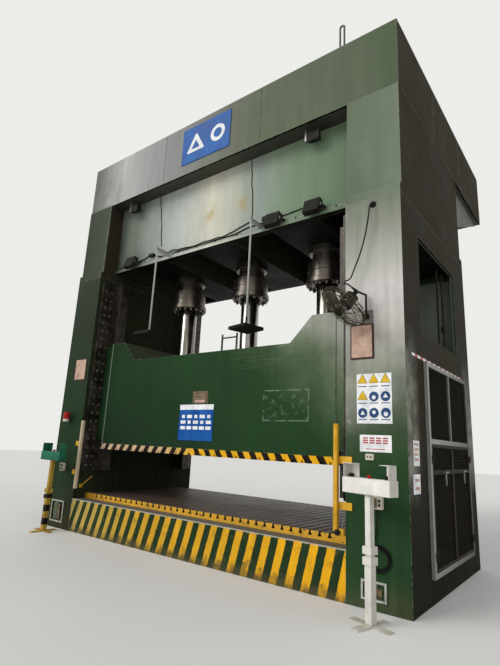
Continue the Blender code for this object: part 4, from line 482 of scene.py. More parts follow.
def slide_scrapes_and_highlight(tree, here, at, facing):
    """Layer: the lines that a board left on the slide. A line is where the distance to the rectangle's rim is
    below a few millimetres, broken up by noise; smears lie inside it. Its right half is rubbed high up, and a
    light line runs up near the left end: a painted highlight, where the edge of the slide's ear catches the light."""
    away = [add(tree, "Math", [distance(tree, value, middle), half], operation="SUBTRACT")
            for value, (middle, half) in ((at[0], BOARD_MARK_X), (at[2], BOARD_MARK_Z))]
    rim = add(tree, "Math", away, operation="MAXIMUM")
    near = add(tree, "Math", [rim], operation="ABSOLUTE")
    broken = add(tree, "TexNoise", {"Vector": here, "Scale": per_mm(70), "Detail": 4.0})
    marks = within(tree, (near, 0.009, 0.003), (broken, 0.44, 0.52, 0.6))
    for more in (within(tree, (broken, 0.54, 0.72, 0.25), (rim, 0.0, -0.02)),
                 within(tree, (streaked(tree, here, 500, 500, 26), 0.56, 0.70, 0.16), (at[2], 2.30, 2.60),
                        (at[0], 0.10, 1.00)),
                 # Painted highlight: a light line along the edge of the slide's ear near its left end.
                 within(tree, (distance(tree, at[0], SLIDE_EDGE_HIGHLIGHT_X), 0.011, 0.004, 0.75))):
        marks = add(tree, "Math", [marks, more], operation="MAXIMUM")
    yield marks, "#8b9a84"


# %% Faded marks on the crown
def faded_marks(tree, here, at, facing):
    """Layers: two patches of old yellow paint, almost rubbed off. A patch is a soft square by the larger of two
    distances, and noise leaves a few flakes of it."""
    flakes = add(tree, "TexNoise", {"Vector": here, "Scale": per_mm(230), "Detail": 4.0, "Roughness": 0.6})
    for x, z in ((-0.12, 5.10), (0.50, 5.10)):
        away = add(tree, "Math", [distance(tree, at[0], x), distance(tree, at[2], z)], operation="MAXIMUM")
        yield within(tree, (away, 0.21, 0.06), (flakes, 0.40, 0.66, 0.6),
                     (at[1], FRONT_Y + 0.38, FRONT_Y + 0.36)), "#b39c55"


# %% Enamel on the crown, the housing, the slide and the bed
# Painted sheen: the pale middle of this ramp is partly dust and partly the glossy paint's reflection. Side, under
# and the dark behind of the crown's cells are painted shade.
dress(coat("green_enamel_crown", [
    (-3.1, "#363d2f"), (-2.48, "#444b3b"), (-2.40, "#646c60"), (-1.91, "#6d756a"), (-1.60, "#8a9188"),
    (-1.30, "#989e95"), (-0.84, "#b0b6b0"), (-0.12, "#d2cfbc"), (0.30, "#bcbdad"), (0.60, "#a0a79a"),
    (0.86, "#8f9a90"), (1.04, "#8a9984"), (1.56, "#75896e"), (2.10, "#6e8368"), (2.43, "#68745e"),
    (3.1, "#74806a")], along=LEVEL, wander=0.10, side="#353127", behind="#20261b", top="#4d5144",
    under="#11130e", worn="#9a988e", runs=0.07, run_size=(150, 1100), over=faded_marks), "crown")
# Painted sheen: the pale tones of the housing's left half are partly dust and partly the glossy paint's reflection.
# Side and under are painted shade.
dress(coat("green_enamel_housing", [
    (-3.1, "#6a6c66"), (-2.81, "#83857f"), (-2.18, "#b5b5b2"), (-1.46, "#9d9c9a"), (-0.81, "#8d8e8b"),
    (0.0, "#777b70"), (0.63, "#686d5d"), (1.19, "#5d6650"), (2.2, "#5b6550"), (2.61, "#5a654e"), (3.1, "#4f5c44")],
    along=LEVEL, side="#383428", behind="#37452f", top="#565b4c", under="#12140f", worn="#a3a197", runs=0.08,
    run_size=(110, 1300)), "guard_housing")
# Painted sheen: the pale tones towards the upper right of the slide are partly dust and partly the glossy paint's
# reflection. Side and under are painted shade.
dress(coat("green_enamel_slide", [
    (-0.4, "#15291a"), (0.3, "#17301a"), (1.2, "#1a351b"), (1.9, "#203d20"), (2.52, "#223f20"), (2.72, "#334a2d"),
    (3.0, "#4a5e43"), (3.2, "#667258"), (3.4, "#858c7a"), (3.55, "#9a9b8e"), (3.7, "#a3a498")],
    along=(0.6, 0, 0.8), wander=0.14, side="#1f2e1d", behind="#27361f", top="#4a4d3e", under="#12130f",
    worn="#9a998d", runs=0.09, paint=slide_scrapes_and_highlight), "slide")
dress(coat("green_enamel_bed", ["#22301e", "#2b3823", "#363a29"], side="#232b1d", top="#6a655a", under="#14150f",
           worn="#6d6a60"), "bed")

# %% [markdown]
# ## Hazard stripes
# The apron under the table is painted in yellow and dark green stripes a fifth of a
# metre apart. They lean a little, and more so at the left end. Trolleys and shoes have
# dirtied the foot. A stripe is the fraction of a running coordinate: places whose
# fraction is below a half are yellow. The edge tape under the slide is yellow and
# black, leans the other way on the right half, and has faded almost white at the left.

# %% Stripes as layers
def stripes(pitch, phase, lean, lean_change, light, foot=None, mirror=None, drift=0.0):
    """Layers: the share of (x - lean z - phase) / pitch decides where the light tones cover the dark ground. The
    lean itself changes along x. Mirror is the x from which the stripes run both ways. Foot is a dirt colour and the
    heights between which it fades out. Drift is how far the painter's hand had strayed at the middle of the left
    half."""
    def layers(tree, here, at, facing):
        slope = add(tree, "Math", [at[0], lean_change, lean], operation="MULTIPLY_ADD")
        rise = add(tree, "Math", [at[2], slope], operation="MULTIPLY")
        across = at[0] if mirror is None else distance(tree, at[0], mirror)
        run = add(tree, "Math", [across, rise], operation="SUBTRACT")
        ragged = add(tree, "TexNoise", {"Vector": here, "Scale": per_mm(60), "Detail": 3.0})
        run = add(tree, "Math", [run, add(tree, "MapRange", {0: ragged, 3: -0.008, 4: 0.008})])
        if drift:
            run = add(tree, "Math", [run, add(tree, "MapRange", [distance(tree, at[0], -0.9), 0.0, 1.2, drift, 0.0],
                                              interpolation_type="SMOOTHSTEP")])
        turn = add(tree, "Math", [run, 1 / pitch, -phase / pitch], operation="MULTIPLY_ADD")
        share = add(tree, "Math", [turn], operation="FRACT")
        tone = add(tree, "ValToRGB", [add(tree, "MapRange", [at[0], -2.4, 2.4])])
        set_stops(tone, light)
        yield within(tree, (distance(tree, share, 0.5), 0.245, 0.255)), tone
        scuffs = add(tree, "TexNoise", {"Vector": here, "Scale": per_mm(110), "Detail": 6.0, "Roughness": 0.7})
        yield within(tree, (scuffs, 0.56, 0.68, 0.55)), "#5f5634"
        if foot:
            code, low, high = foot
            dirt = add(tree, "Math", [scuffs, 0.45, -0.22], operation="MULTIPLY_ADD")
            dirt = add(tree, "Math", [at[2], dirt], operation="SUBTRACT")
            yield add(tree, "MapRange", [dirt, low, high, 0.85, 0.0]), code
    return layers


def worn_and_highlit_top(tree, here, at, facing):
    """Layer: a pale line on the apron's top edge, partly knocked bare where work is dragged over it and partly a
    painted highlight where the edge catches the light.
    """
    chips = add(tree, "TexNoise", {"Vector": here, "Scale": per_mm(120), "Detail": 4.0})
    yield within(tree, (at[2], 0.480, 0.484), (chips, 0.36, 0.46)), "#a8a69b"


# The pale worn tone on the apron's edges and its top-edge line are partly a painted highlight.
dress(coat("hazard_enamel_on_apron", ["#22361f", "#22361f"], top="#8a867a", worn="#c2bfb4", runs=0.08, cloud=400,
           paint=stripes(0.2042, 2.22 - 0.25 * 0.235, 0.30, -0.03,
                         [(0, "#b39a56"), (0.2, "#bd9b3c"), (0.4, "#d2a02a"), (1, "#e8ab1c")],
                         foot=("#4d4a33", 0.0, 0.13), drift=0.045), over=worn_and_highlit_top), "front_apron")
dress(coat("hazard_tape_under_slide", ["#1d1712", "#1d1712"], under="#26231d", runs=0.05, cloud=300,
           paint=stripes(0.197, 0.85, -0.6, 0.0,
                         [(0, "#c3a28c"), (0.36, "#c9ab7c"), (0.46, "#d9b04a"), (0.5, "#e6ae20"), (1, "#e8ad1b")],
                         mirror=-0.1)), "slide_plate")

# %% [markdown]
# ## The slotted table
# The table is planed cast iron that is never painted on top: it is brown and violet
# from oil and scale, with the plane's marks running across it. Its front lip was
# painted yellow and is scraped by every tool that slides in. The plane marks are noise
# that is stretched along x; the real grooves are half a millimetre apart, and are drawn
# 12 mm apart so that they show.

# %% Planed iron with a painted lip
def lip(tree, here, at, facing):
    """Layers: plane marks, and yellow on faces that look to the front within a hand's width of the edge, worn."""
    yield add(tree, "MapRange", [streaked(tree, here, 600, 12, 12, 2.0), 0.3, 0.7, 0.86, 1.16]), None
    flakes = add(tree, "TexNoise", {"Vector": here, "Scale": per_mm(55), "Detail": 5.0, "Roughness": 0.65})
    yield within(tree, (flakes, 0.64, 0.57), (facing[1], -0.6, -0.8),
                 (at[1], FRONT_Y + 0.262, FRONT_Y + 0.25)), "#e0a922"


dress(coat("planed_cast_iron", ["#473b31", "#58493d", "#655548"], cloud=520, runs=0.06, worn="#8d8274",
           rough=(0.42, 0.58), metallic=0.2, paint=lip), "worktable")

# %% [markdown]
# ## Metals, plastics and the small coats
# The rest takes the same recipe with other values. Bare steel is a metal with a little
# brown oil on it, the rails carry dark grease, plastics are smoother and don't chip,
# and powder coat on the operator's stand shows grey hand marks.

# %% Finishes of the smaller solids
greased_steel = coat("greased_rail_steel", ["#221d18", "#37312a", "#4b453d"], cloud=160, runs=0.25, top="#4a443a",
                     worn="#8a8378", rough=(0.3, 0.55), metallic=0.6, run_size=(30, 500))
oiled_steel = coat("oiled_steel", ["#5c5750", "#787269"], cloud=200, rough=(0.28, 0.45), metallic=0.85,
                   slot="oiled_steel")
drum_steel = coat("oil_blackened_steel", ["#5a534c", "#686159", "#776f66"], cloud=420, rough=(0.22, 0.34),
                  metallic=0.9, worn="#a39c90", slot="dark_steel")
black_iron = coat("black_stove_enamel", ["#191917", "#26251f", "#302d26"], cloud=90, runs=0.1, worn="#5c574d",
                  edge=3, rough=(0.45, 0.7), slot="dark_steel")
white_powder = coat("white_powder_coat", [(0.0, "#b9b4a6"), (0.12, "#cfcbc0"), (0.6, "#dcd9d0"), (1.2, "#e4e1d9")],
                    along=UPRIGHT, wander=0.1, cloud=130, runs=0.05, side="#c3c0b6", worn="#8e8a80", edge=3,
                    rough=(0.35, 0.5), relief=6, height=0.0002)
turquoise = coat("turquoise_enamel_on_yellow_mast", [
    (0.4, "#a3853a"), (1.079, "#a98a3c"), (1.081, "#1d5a45"), (1.16, "#27684f"), (1.36, "#2f7459")],
    along=UPRIGHT, wander=0.0, cloud=120, runs=0.08, worn="#8a9184", edge=3, rough=(0.35, 0.55))
yellow_powder = coat("yellow_powder_coat", ["#c99a2a", "#d8a636", "#e0b045"], cloud=180, runs=0.07, side="#c08f2c",
                     worn="#6f6342", edge=3, rough=(0.4, 0.6), slot="hazard_paint")
# Painted reflection: from x = -2.367 inwards the yellow turns pale cream, a glare of light on the curtain's face.
yellow_with_painted_glare = coat("yellow_powder_coat_with_painted_glare", [
    (-2.52, "#c9a02a"), (-2.371, "#bf9a2e"), (-2.367, "#a8957a"), (-2.34, "#bba88d"), (-2.31, "#c9b89b")],
    along=LEVEL, wander=0.0, cloud=180, runs=0.07, worn="#6f6342", edge=3, rough=(0.45, 0.65), slot="hazard_paint")
aluminium = coat("dull_aluminium", ["#6d6c67", "#83827c", "#97968f"], cloud=150, under="#45443f",
                 rough=(0.35, 0.55), metallic=0.55, worn="#b4b3ac", edge=3, relief=5, slot="guard_aluminium")
red_plastic = coat("red_moulded_plastic", ["#9c1f1a", "#b52a22"], cloud=40, runs=0.04, rough=(0.25, 0.4), relief=3,
                   height=0.0001, slot="red_plastic")
black_plastic = coat("black_moulded_plastic", ["#17171a", "#222225"], cloud=40, runs=0.04, rough=(0.35, 0.5),
                     relief=3, height=0.0002, slot="black_plastic")
lamp_arm = coat("galvanised_rod_and_black_head", [
    (2.9, "#191917"), (3.13, "#20201d"), (3.15, "#9c9d94"), (4.5, "#b2b3a9"), (4.62, "#6b6b64")],
    along=UPRIGHT, wander=0.0, cloud=90, runs=0.1, rough=(0.4, 0.6))
wall_plate = coat("overpainted_wall_plate", [
    (FRONT_Y - 0.05, "#1c1c19"), (FRONT_Y - 0.016, "#24241f"), (FRONT_Y - 0.013, "#77756c"), (FRONT_Y, "#8a887e")],
    along=(0, 1, 0), wander=0.0, cloud=90, runs=0.15, worn="#2b2a25", edge=6)
white_plastic = coat("yellowed_white_plastic", ["#b9b19c", "#cbc4b2", "#d6d0c1"], cloud=60, runs=0.06,
                     rough=(0.35, 0.5), relief=4, height=0.0002, slot="white_plastic")
rubber = coat("black_pvc_sheath", ["#141413", "#1f1e1c"], cloud=60, runs=0.05, rough=(0.5, 0.65), relief=3,
              height=0.0002, slot="black_rubber")
tank_grey = coat("grey_green_tank_enamel", ["#4d5a4a", "#5a6654"], cloud=500, side="#47523f", top="#63665a",
                 worn="#8b897e", slot="pale_green_paint")
motor_blue = coat("blue_grey_motor_enamel", ["#3f4f58", "#4a5b63"], cloud=160, top="#5d625f", worn="#8b897e", edge=4,
                  slot="green_paint")
chequer = coat("oily_deck_plate", ["#3c3b35", "#4a4941"], cloud=420, worn="#77736a", rough=(0.4, 0.6),
               metallic=0.4)

ENDS = [side + row for side in ("left_", "right_") for row in ("front", "rear")]
dress(greased_steel, *("guide_rail_" + end for end in ENDS))
dress(oiled_steel, *("tie_rod_" + end for end in ENDS))
dress(chequer, "deck")
dress(tank_grey, "oil_tank")
dress(motor_blue, "motor_pump_left", "motor_pump_right")
dress(white_powder, "pedestal_right_base", "pedestal_right_console")
dress(turquoise, "pedestal_left_console")
dress(yellow_powder, "light_curtain_right")
dress(yellow_with_painted_glare, "light_curtain_left")
dress(red_plastic, "pedestal_left_stop", "pedestal_right_stop")
dress(black_plastic, *("pedestal_" + stand + "_palm_" + hand for stand in ("left", "right")
                       for hand in ("left", "right")))
dress(white_plastic, "socket_box")
dress(rubber, "spare_cord_plug")
dress(black_iron, "fan_head", "floodlight_left", "floodlight_middle", "floodlight_right")
dress(lamp_arm, "work_light_left", "work_light_right")
dress(wall_plate, "fan_bracket")
dress(aluminium, "fan_blades")
for cord in (fan_lead, spare_cord):
    cord.data.materials.append(rubber)

# %% The banded post
BAND_PITCH = 0.2


def post_bands(tree, here, at, facing):
    """Layer: black bands a tenth of a metre high up to knee height, where the post stops being banded."""
    share = add(tree, "Math", [add(tree, "Math", [at[2], 1 / BAND_PITCH], operation="MULTIPLY")],
                operation="FRACT")
    yield within(tree, (share, 0.49, 0.51), (at[2], 0.72, 0.70)), "#1c1a16"


dress(coat("banded_yellow_enamel", ["#8f753a", "#a98a3c", "#b8973f"], cloud=120, runs=0.08, worn="#5c5440", edge=3,
           paint=post_bands), "pedestal_left_base")

# %% [markdown]
# ## The surface kit
# Every new piece here is a row of rings: closed loops of points, joined in order and
# capped at both ends. A lathe turns a profile round an axis, a bar carries a cut-corner
# rectangle along a line, a tube carries a circle along a path, and a hoop closes on
# itself. Each is worked out as whole arrays, and one function puts the parts of a
# piece into a mesh, merges doubles and makes all faces point outwards.

# %% Rings joined into a surface
def loft(rings):
    """Quads join point k of one ring to point k of the next; a fan from the middle of an end ring closes it."""
    rings = np.asarray(rings, float)
    count, around, _ = rings.shape
    ids = np.arange(count * around).reshape(count, around)
    after = np.roll(ids, -1, axis=1)
    quads = np.stack([ids[:-1], after[:-1], after[1:], ids[1:]], -1).reshape(-1, 4)
    first = np.full(around, count * around)
    fans = np.concatenate([np.stack([after[0], ids[0], first], -1),
                           np.stack([ids[-1], after[-1], first + 1], -1)])
    return np.vstack([rings.reshape(-1, 3), rings[0].mean(0), rings[-1].mean(0)]), quads, fans


def square_to(axis):
    """Two directions that stand square to an axis and to each other."""
    axis = np.asarray(axis, float) / np.linalg.norm(axis)
    helper = np.eye(3)[np.argmin(np.abs(axis))]
    first = np.cross(axis, helper)
    first = first / np.linalg.norm(first)
    return first, np.cross(axis, first), axis


def lathe(profile, centre, steps, axis=(0, 0, 1)):
    """Radius r and height h at angle t give centre + r cos t a + r sin t b + h axis."""
    r, h = np.array(profile, float).T[:, :, None, None]
    t = np.linspace(0, 2 * math.pi, steps, endpoint=False)[None, :, None]
    a, b, c = square_to(axis)
    return loft(np.asarray(centre, float) + r * np.cos(t) * a + r * np.sin(t) * b + h * c)


def bar(start, end, wide, thick, side=(1, 0, 0), edge=0.003):
    """A rectangle with cut corners carried from start to end; both ends draw in by the same cut."""
    start, end = np.asarray(start, float), np.asarray(end, float)
    along = (end - start) / np.linalg.norm(end - start)
    side = np.asarray(side, float) - np.dot(side, along) * along
    side = side / np.linalg.norm(side)
    other = np.cross(along, side)
    a, b = wide / 2, thick / 2
    signs = np.array([(1, 1), (1, 1), (1, -1), (1, -1), (-1, -1), (-1, -1), (-1, 1), (-1, 1)], float)
    cut = np.array([(1, 0), (0, 1), (0, 1), (1, 0), (1, 0), (0, 1), (0, 1), (1, 0)], float) * edge
    full = signs * (np.array([a, b]) - cut)
    drawn = signs * (np.array([a - edge, b - edge]) - cut / 3)
    rings = [(drawn, start), (full, start + along * edge), (full, end - along * edge), (drawn, end)]
    return loft([point + shape[:, :1] * side + shape[:, 1:] * other for shape, point in rings])


def block(low, high, edge=0.003):
    """A bar between two opposite corners, carried along its longest side."""
    low, high = np.minimum(low, high), np.maximum(low, high)
    k = int(np.argmax(high - low))
    size = high - low
    start, end = (low + high) / 2, (low + high) / 2
    start[k], end[k] = low[k], high[k]
    return bar(start, end, size[(k + 1) % 3], size[(k + 2) % 3], np.eye(3)[(k + 1) % 3], edge)


def at_side(side, x, depth, z):
    """A point at a distance from the middle plane, on the left (-1) or the right (1)."""
    return spot(side * x, depth, z)


def slab(low, high, edge=0.003, side=1):
    """A block between two corners given as x, depth and height, on one side of the press."""
    return block(at_side(side, *low), at_side(side, *high), edge)


def tube(path, radius, steps=10):
    """A circle carried along a path, square to its tangent; radius may be one value or one for each point."""
    path = np.asarray(path, float)
    tangent = np.gradient(path, axis=0)
    tangent = tangent / np.linalg.norm(tangent, axis=1, keepdims=True)
    helper = np.eye(3)[np.argmin(np.abs(tangent).max(0))]
    a = helper - (tangent @ helper)[:, None] * tangent
    a = a / np.linalg.norm(a, axis=1, keepdims=True)
    b = np.cross(tangent, a)
    t = np.linspace(0, 2 * math.pi, steps, endpoint=False)
    radius = np.broadcast_to(radius, len(path))[:, None, None]
    return loft(path[:, None] + radius * (
        np.cos(t)[None, :, None] * a[:, None] + np.sin(t)[None, :, None] * b[:, None]))


def hoop(centre, axis, radius, wire, around=48, steps=6):
    """A ring of wire: angle u runs round the axis and v round the wire, and both close on themselves."""
    a, b, c = square_to(axis)
    u = np.linspace(0, 2 * math.pi, around, endpoint=False)[:, None, None]
    v = np.linspace(0, 2 * math.pi, steps, endpoint=False)[None, :, None]
    out = np.cos(u) * a + np.sin(u) * b
    points = np.asarray(centre, float) + out * (radius + wire * np.cos(v)) + c * wire * np.sin(v)
    ids = np.arange(around * steps).reshape(around, steps)
    quads = np.stack([ids, np.roll(ids, -1, 0), np.roll(np.roll(ids, -1, 0), -1, 1), np.roll(ids, -1, 1)], -1)
    return points.reshape(-1, 3), quads.reshape(-1, 4), np.zeros((0, 3), int)


def copies(part, moves):
    """The same part at several displacements: points plus each move, faces shifted by the count of points."""
    points, quads, fans = part
    moves = np.asarray(moves, float).reshape(-1, 3)
    shift = (np.arange(len(moves)) * len(points))[:, None, None]
    return ((points[None] + moves[:, None]).reshape(-1, 3), (quads[None] + shift).reshape(-1, 4),
            (fans[None] + shift).reshape(-1, 3))


def put(name, parts, material, body="frame", slot=None, angle=35):
    """One piece from its parts: joined, merged, turned outwards, shaded smooth up to an angle, and set riding. Its
    slot, the coat's own one unless another is named, is looked up and not kept."""
    points, faces, start = [], [], 0
    for places, quads, fans in parts:
        points.append(places)
        faces += (quads + start).tolist() + (fans + start).tolist()
        start += len(places)
    obj = put_mesh(name, np.vstack(points), faces)
    shape = bmesh.new()
    shape.from_mesh(obj.data)
    bmesh.ops.remove_doubles(shape, verts=shape.verts, dist=0.000002)
    bmesh.ops.recalc_face_normals(shape, faces=shape.faces)
    shape.to_mesh(obj.data)
    shape.free()
    obj.data.shade_smooth()
    obj.data.set_sharp_from_angle(angle=math.radians(angle))
    obj.data.materials.append(material)
    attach(obj, body)
    slot or SLOTS[material.name]
    print(name, len(obj.data.polygons), "faces")
    return obj


# %% [markdown]
# ## Cylinders and plungers
# Three hydraulic cylinders hang in the crown. Their plungers are hard chrome: ground,
# plated and wiped by the seal on every stroke, so they mirror the room in long vertical
# bands under a thin film of oil. The solids have flat facets, which would break such a
# reflection, so the lathe makes them again with a fine step and with the grooves,
# collars and seals that the turner left.

# %% Chrome under oil
def oil_film(tree, here, at, facing):
    """Layer: oil streaks that run down, from noise drawn out along z."""
    yield within(tree, (streaked(tree, here, 45, 45, 900), 0.42, 0.66, 0.8)), "#5a5446"


chrome = coat("hard_chrome_under_oil", ["#8f8d86", "#a6a49c"], cloud=260, rough=(0.14, 0.24), metallic=1.0,
              relief=30, height=0.0002, paint=oil_film, slot="chrome")
CYLINDERS = {"left": -1.46, "middle": 0.0, "right": 1.46}
CYLINDER_DEPTH = 1.355
CYLINDER_PROFILE = [(0.344, 5.87), (0.35, 5.864), (0.35, 5.796), (0.344, 5.79), (0.27, 5.79), (0.27, 4.40),
                    (0.262, 4.392), (0.22, 4.385), (0.22, 4.315), (0.224, 4.31), (0.232, 4.31), (0.232, 4.235),
                    (0.284, 4.235), (0.29, 4.229), (0.29, 4.085), (0.278, 4.081), (0.278, 4.069), (0.29, 4.065),
                    (0.29, 3.967), (0.309, 3.967), (0.315, 3.961), (0.315, 3.896), (0.309, 3.89), (0.176, 3.89),
                    (0.1506, 3.896), (0.1506, 5.72)]
WIPER_PROFILE = [(0.151, 3.889), (0.174, 3.889), (0.174, 3.876), (0.160, 3.868), (0.151, 3.868)]
PLUNGER_PROFILE = [(0.1497, 5.20), (0.15, 5.197), (0.15, 2.862), (0.158, 2.846), (0.172, 2.838), (0.244, 2.8353),
                   (0.25, 2.829), (0.25, 2.7713), (0.246, 2.7653)]
for side, x in CYLINDERS.items():
    middle = spot(x, CYLINDER_DEPTH, 0)
    drum = put("cylinder_body_" + side, [lathe(CYLINDER_PROFILE, middle, 96)], drum_steel)
    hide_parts("cylinder_" + side)
    ram = put("plunger_" + side + "_ground", [lathe(PLUNGER_PROFILE, middle, 96)], chrome, "slide")
    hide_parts("plunger_" + side)
    put("gland_wiper_" + side, [lathe(WIPER_PROFILE, middle, 64)], rubber)

# %% Bolt circles
def bolt(place, axis, across, height):
    """A hex head: a six-step lathe with its top corners cut."""
    r = across / 2
    return lathe([(r * 0.94, 0), (r, height * 0.12), (r, height * 0.8), (r * 0.86, height)], place, 6, axis)


def ring_of(count, radius, turned=0.0):
    """Displacements of count places on a level circle."""
    t = np.linspace(0, 2 * math.pi, count, endpoint=False) + turned
    return np.stack([radius * np.cos(t), radius * np.sin(t), np.zeros(count)], 1)


GLAND_FACE, FOOT_FACE = 3.8897, 2.8357
gland_ring = ring_of(16, 0.268, 0.1)
for side, x in CYLINDERS.items():
    middle = spot(x, CYLINDER_DEPTH, 0)
    put("gland_bolts_" + side, [
        copies(lathe([(0.028, 0), (0.028, -0.006)], middle + [0, 0, GLAND_FACE], 16), gland_ring),
        copies(bolt(middle + [0, 0, GLAND_FACE - 0.0062], (0, 0, -1), 0.046, 0.034), gland_ring)],
        drum_steel, angle=30)
    put("foot_bolts_" + side, [
        copies(bolt(middle + [0, 0, FOOT_FACE], (0, 0, 1), 0.034, 0.022), ring_of(12, 0.216))],
        oiled_steel, "slide", angle=30)

# %% [markdown]
# ## Side guards
# A welded frame of dull aluminium closes the door in each column. Two hinged leaves
# fill its lower half. All panes carry welded wire mesh, darkened by oil: upright wires
# at the back and level wires in front of them. The mesh is real wire here, so that the
# dark room behind it shows through. The wires are 3 mm thick and 18 mm apart; each is
# a bar of a few faces, because there are hundreds.

# %% Frames, leaves and wire mesh
GUARD_X, GUARD_OUT = 3.1003, 3.1403
GUARD_DEPTHS, GUARD_HEIGHTS, GUARD_MIDDLE = (0.58, 2.29), (0.24, 2.48), 1.435
MEMBER, LEAF_MEMBER, RAIL, JOINT_GAP = 0.05, 0.03, (1.58, 1.635), 0.0004
GRIP_Z, GRIP_BAR = 1.29, 0.016
mesh_wire = coat("oiled_welded_wire", ["#16130f", "#211c16", "#2c261e"], cloud=90, runs=0.2, rough=(0.5, 0.7),
                 slot="dark_steel")
leaf_paint = coat("grimy_brown_leaf_paint", ["#1d1913", "#29241c", "#352f26"], cloud=200, runs=0.15, worn="#77756c",
                  edge=3, slot="guard_aluminium")
dull_frame = coat("aluminium_frame_under_dust", [(FRONT_Y + 0.58, "#96958e"), (FRONT_Y + 1.4, "#7d7c75"),
                                               (FRONT_Y + 2.0, "#55534c"), (FRONT_Y + 2.29, "#403e38")],
                  along=(0, 1, 0), wander=0.05, cloud=150, rough=(0.4, 0.6), metallic=0.4, worn="#b4b3ac",
                  edge=3, slot="guard_aluminium")


def guard_frame(side, x_low, x_high, outer, wide):
    """Four members round a rectangle of depths and heights: the uprights run through, the level ones butt."""
    start, end, low, high = outer
    parts = [slab((x_low, d, low), (x_high, d + wide, high), side=side) for d in (start, end - wide)]
    parts += [slab((x_low, start + wide + JOINT_GAP, z), (x_high, end - wide - JOINT_GAP, z + wide), side=side)
              for z in (low, high - wide)]
    return parts


def wire_panel(side, x, pane, pitch=0.018, wire=0.003):
    """Upright wires on one plane and level wires on the next, both at the same pitch inside the pane."""
    start, end, low, high = pane
    reach, edge = 0.004, 0.0008
    upright = np.arange(start + pitch / 2, end, pitch) - start
    level = np.arange(low + pitch / 2, high, pitch) - low
    first = bar(at_side(side, x, start, low - reach), at_side(side, x, start, high + reach),
                wire, wire, edge=edge)
    across = bar(at_side(side, x + wire, start - reach, low), at_side(side, x + wire, end + reach, low),
                 wire, wire, edge=edge)
    return [copies(first, np.outer(upright, (0, 1, 0))), copies(across, np.outer(level, (0, 0, 1)))]


def grip(side, start, end):
    """A bent grip on two studs: an upright bar and a level bar."""
    hand = (start + end - 0.11) / 2
    face, out = GUARD_OUT, GUARD_OUT + 0.045
    return [slab((out - GRIP_BAR, hand, GRIP_Z - 0.15), (out, hand + GRIP_BAR, GRIP_Z), side=side),
            slab((out - GRIP_BAR, hand + GRIP_BAR - 0.001, GRIP_Z - GRIP_BAR),
                 (out, hand + 0.11, GRIP_Z), side=side),
            *[bar(at_side(side, face - 0.002, d, GRIP_Z - 0.008), at_side(side, out - 0.012, d, GRIP_Z - 0.008),
                  0.009, 0.009, (0, 1, 0), 0.001) for d in (hand + 0.008, hand + 0.094)]]


SIDES = ((-1, "left"), (1, "right"))
HINGE_PROFILE = [(0.0096, -0.045), (0.011, -0.043), (0.011, -0.002), (0.0103, -0.001), (0.0103, 0.001),
                 (0.011, 0.002), (0.011, 0.043), (0.0096, 0.045)]
HINGE_OUT, HALF_POST = 0.0113, 0.015
for side, side_name in SIDES:
    low_x, high_x = GUARD_X, GUARD_OUT
    start, end = GUARD_DEPTHS
    parts = guard_frame(side, low_x, high_x, (start, end, *GUARD_HEIGHTS), MEMBER)
    parts.append(slab((low_x, start + MEMBER + JOINT_GAP, RAIL[0]),
                      (high_x, end - MEMBER - JOINT_GAP, RAIL[1]), side=side))
    top = GUARD_HEIGHTS[1] - MEMBER
    parts.append(slab((low_x, GUARD_MIDDLE - HALF_POST, RAIL[1] + JOINT_GAP),
                      (high_x, GUARD_MIDDLE + HALF_POST, top - JOINT_GAP), side=side))
    frame_piece = put("guard_frame_" + side_name, parts, dull_frame)
    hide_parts("side_guard_" + side_name)
    panes = [(start + MEMBER, GUARD_MIDDLE - HALF_POST, RAIL[1], top),
             (GUARD_MIDDLE + HALF_POST, end - MEMBER, RAIL[1], top)]
    put("guard_mesh_" + side_name, [part for pane in panes for part in wire_panel(side, 3.118, pane)], mesh_wire)
    for row, row_name in ((-1, "front"), (1, "rear")):
        leaf_name = "_".join((side_name, row_name))
        post = GUARD_MIDDLE + row * 0.805
        near, far = sorted((post - row * 0.004, GUARD_MIDDLE + row * 0.002))
        low, high = GUARD_HEIGHTS[0] + MEMBER + 0.004, RAIL[0] - 0.004
        parts = guard_frame(side, high_x - 0.03, high_x, (near, far, low, high), LEAF_MEMBER)
        for share in (0.12, 0.88):
            z = low + (high - low) * share
            parts += [lathe(HINGE_PROFILE, at_side(side, high_x + HINGE_OUT, post + row * 0.00275, z), 20),
                slab((high_x - 0.0005, post - row * 0.004, z - 0.045),
                     (high_x + HINGE_OUT, post - row * 0.034, z + 0.045), 0.002, side=side)]
        leaf = put("guard_leaf_frame_" + leaf_name, parts, leaf_paint, "leaf_" + leaf_name)
        put("guard_grip_" + leaf_name, grip(side, near, far), aluminium, "leaf_" + leaf_name)
        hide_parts("guard_leaf_" + leaf_name)
        pane = (near + LEAF_MEMBER, far - LEAF_MEMBER, low + LEAF_MEMBER, high - LEAF_MEMBER)
        put("guard_leaf_mesh_" + leaf_name, wire_panel(side, 3.123, pane), mesh_wire, "leaf_" + leaf_name)
        plate = slab((high_x - 0.0135, near + 0.031, GRIP_Z - 0.032),
                     (high_x - 0.001, far - 0.031, GRIP_Z + 0.016), 0.002, side=side)
        put("guard_lock_plate_" + leaf_name, [plate], leaf_paint, "leaf_" + leaf_name, "dark_steel")

# %% [markdown]
# ## Boards and signs
# The photographed press carries boards with words and pictures. Here each is the same
# board in its place and in its colours, with plain shapes where the words would be.
# A board is a thin sheet with cut edges, and its print is a second sheet that stands
# a fraction of a millimetre in front, so that the two never fight for the same pixels.

# %% Sheets, discs and triangles on a front face
def sheet_on(depth, x_low, x_high, z_low, z_high, thick=0.004, edge=0.001):
    """A thin board in front of a face at that depth, between two x and two heights."""
    return slab((x_low, depth - thick, z_low), (x_high, depth, z_high), edge)


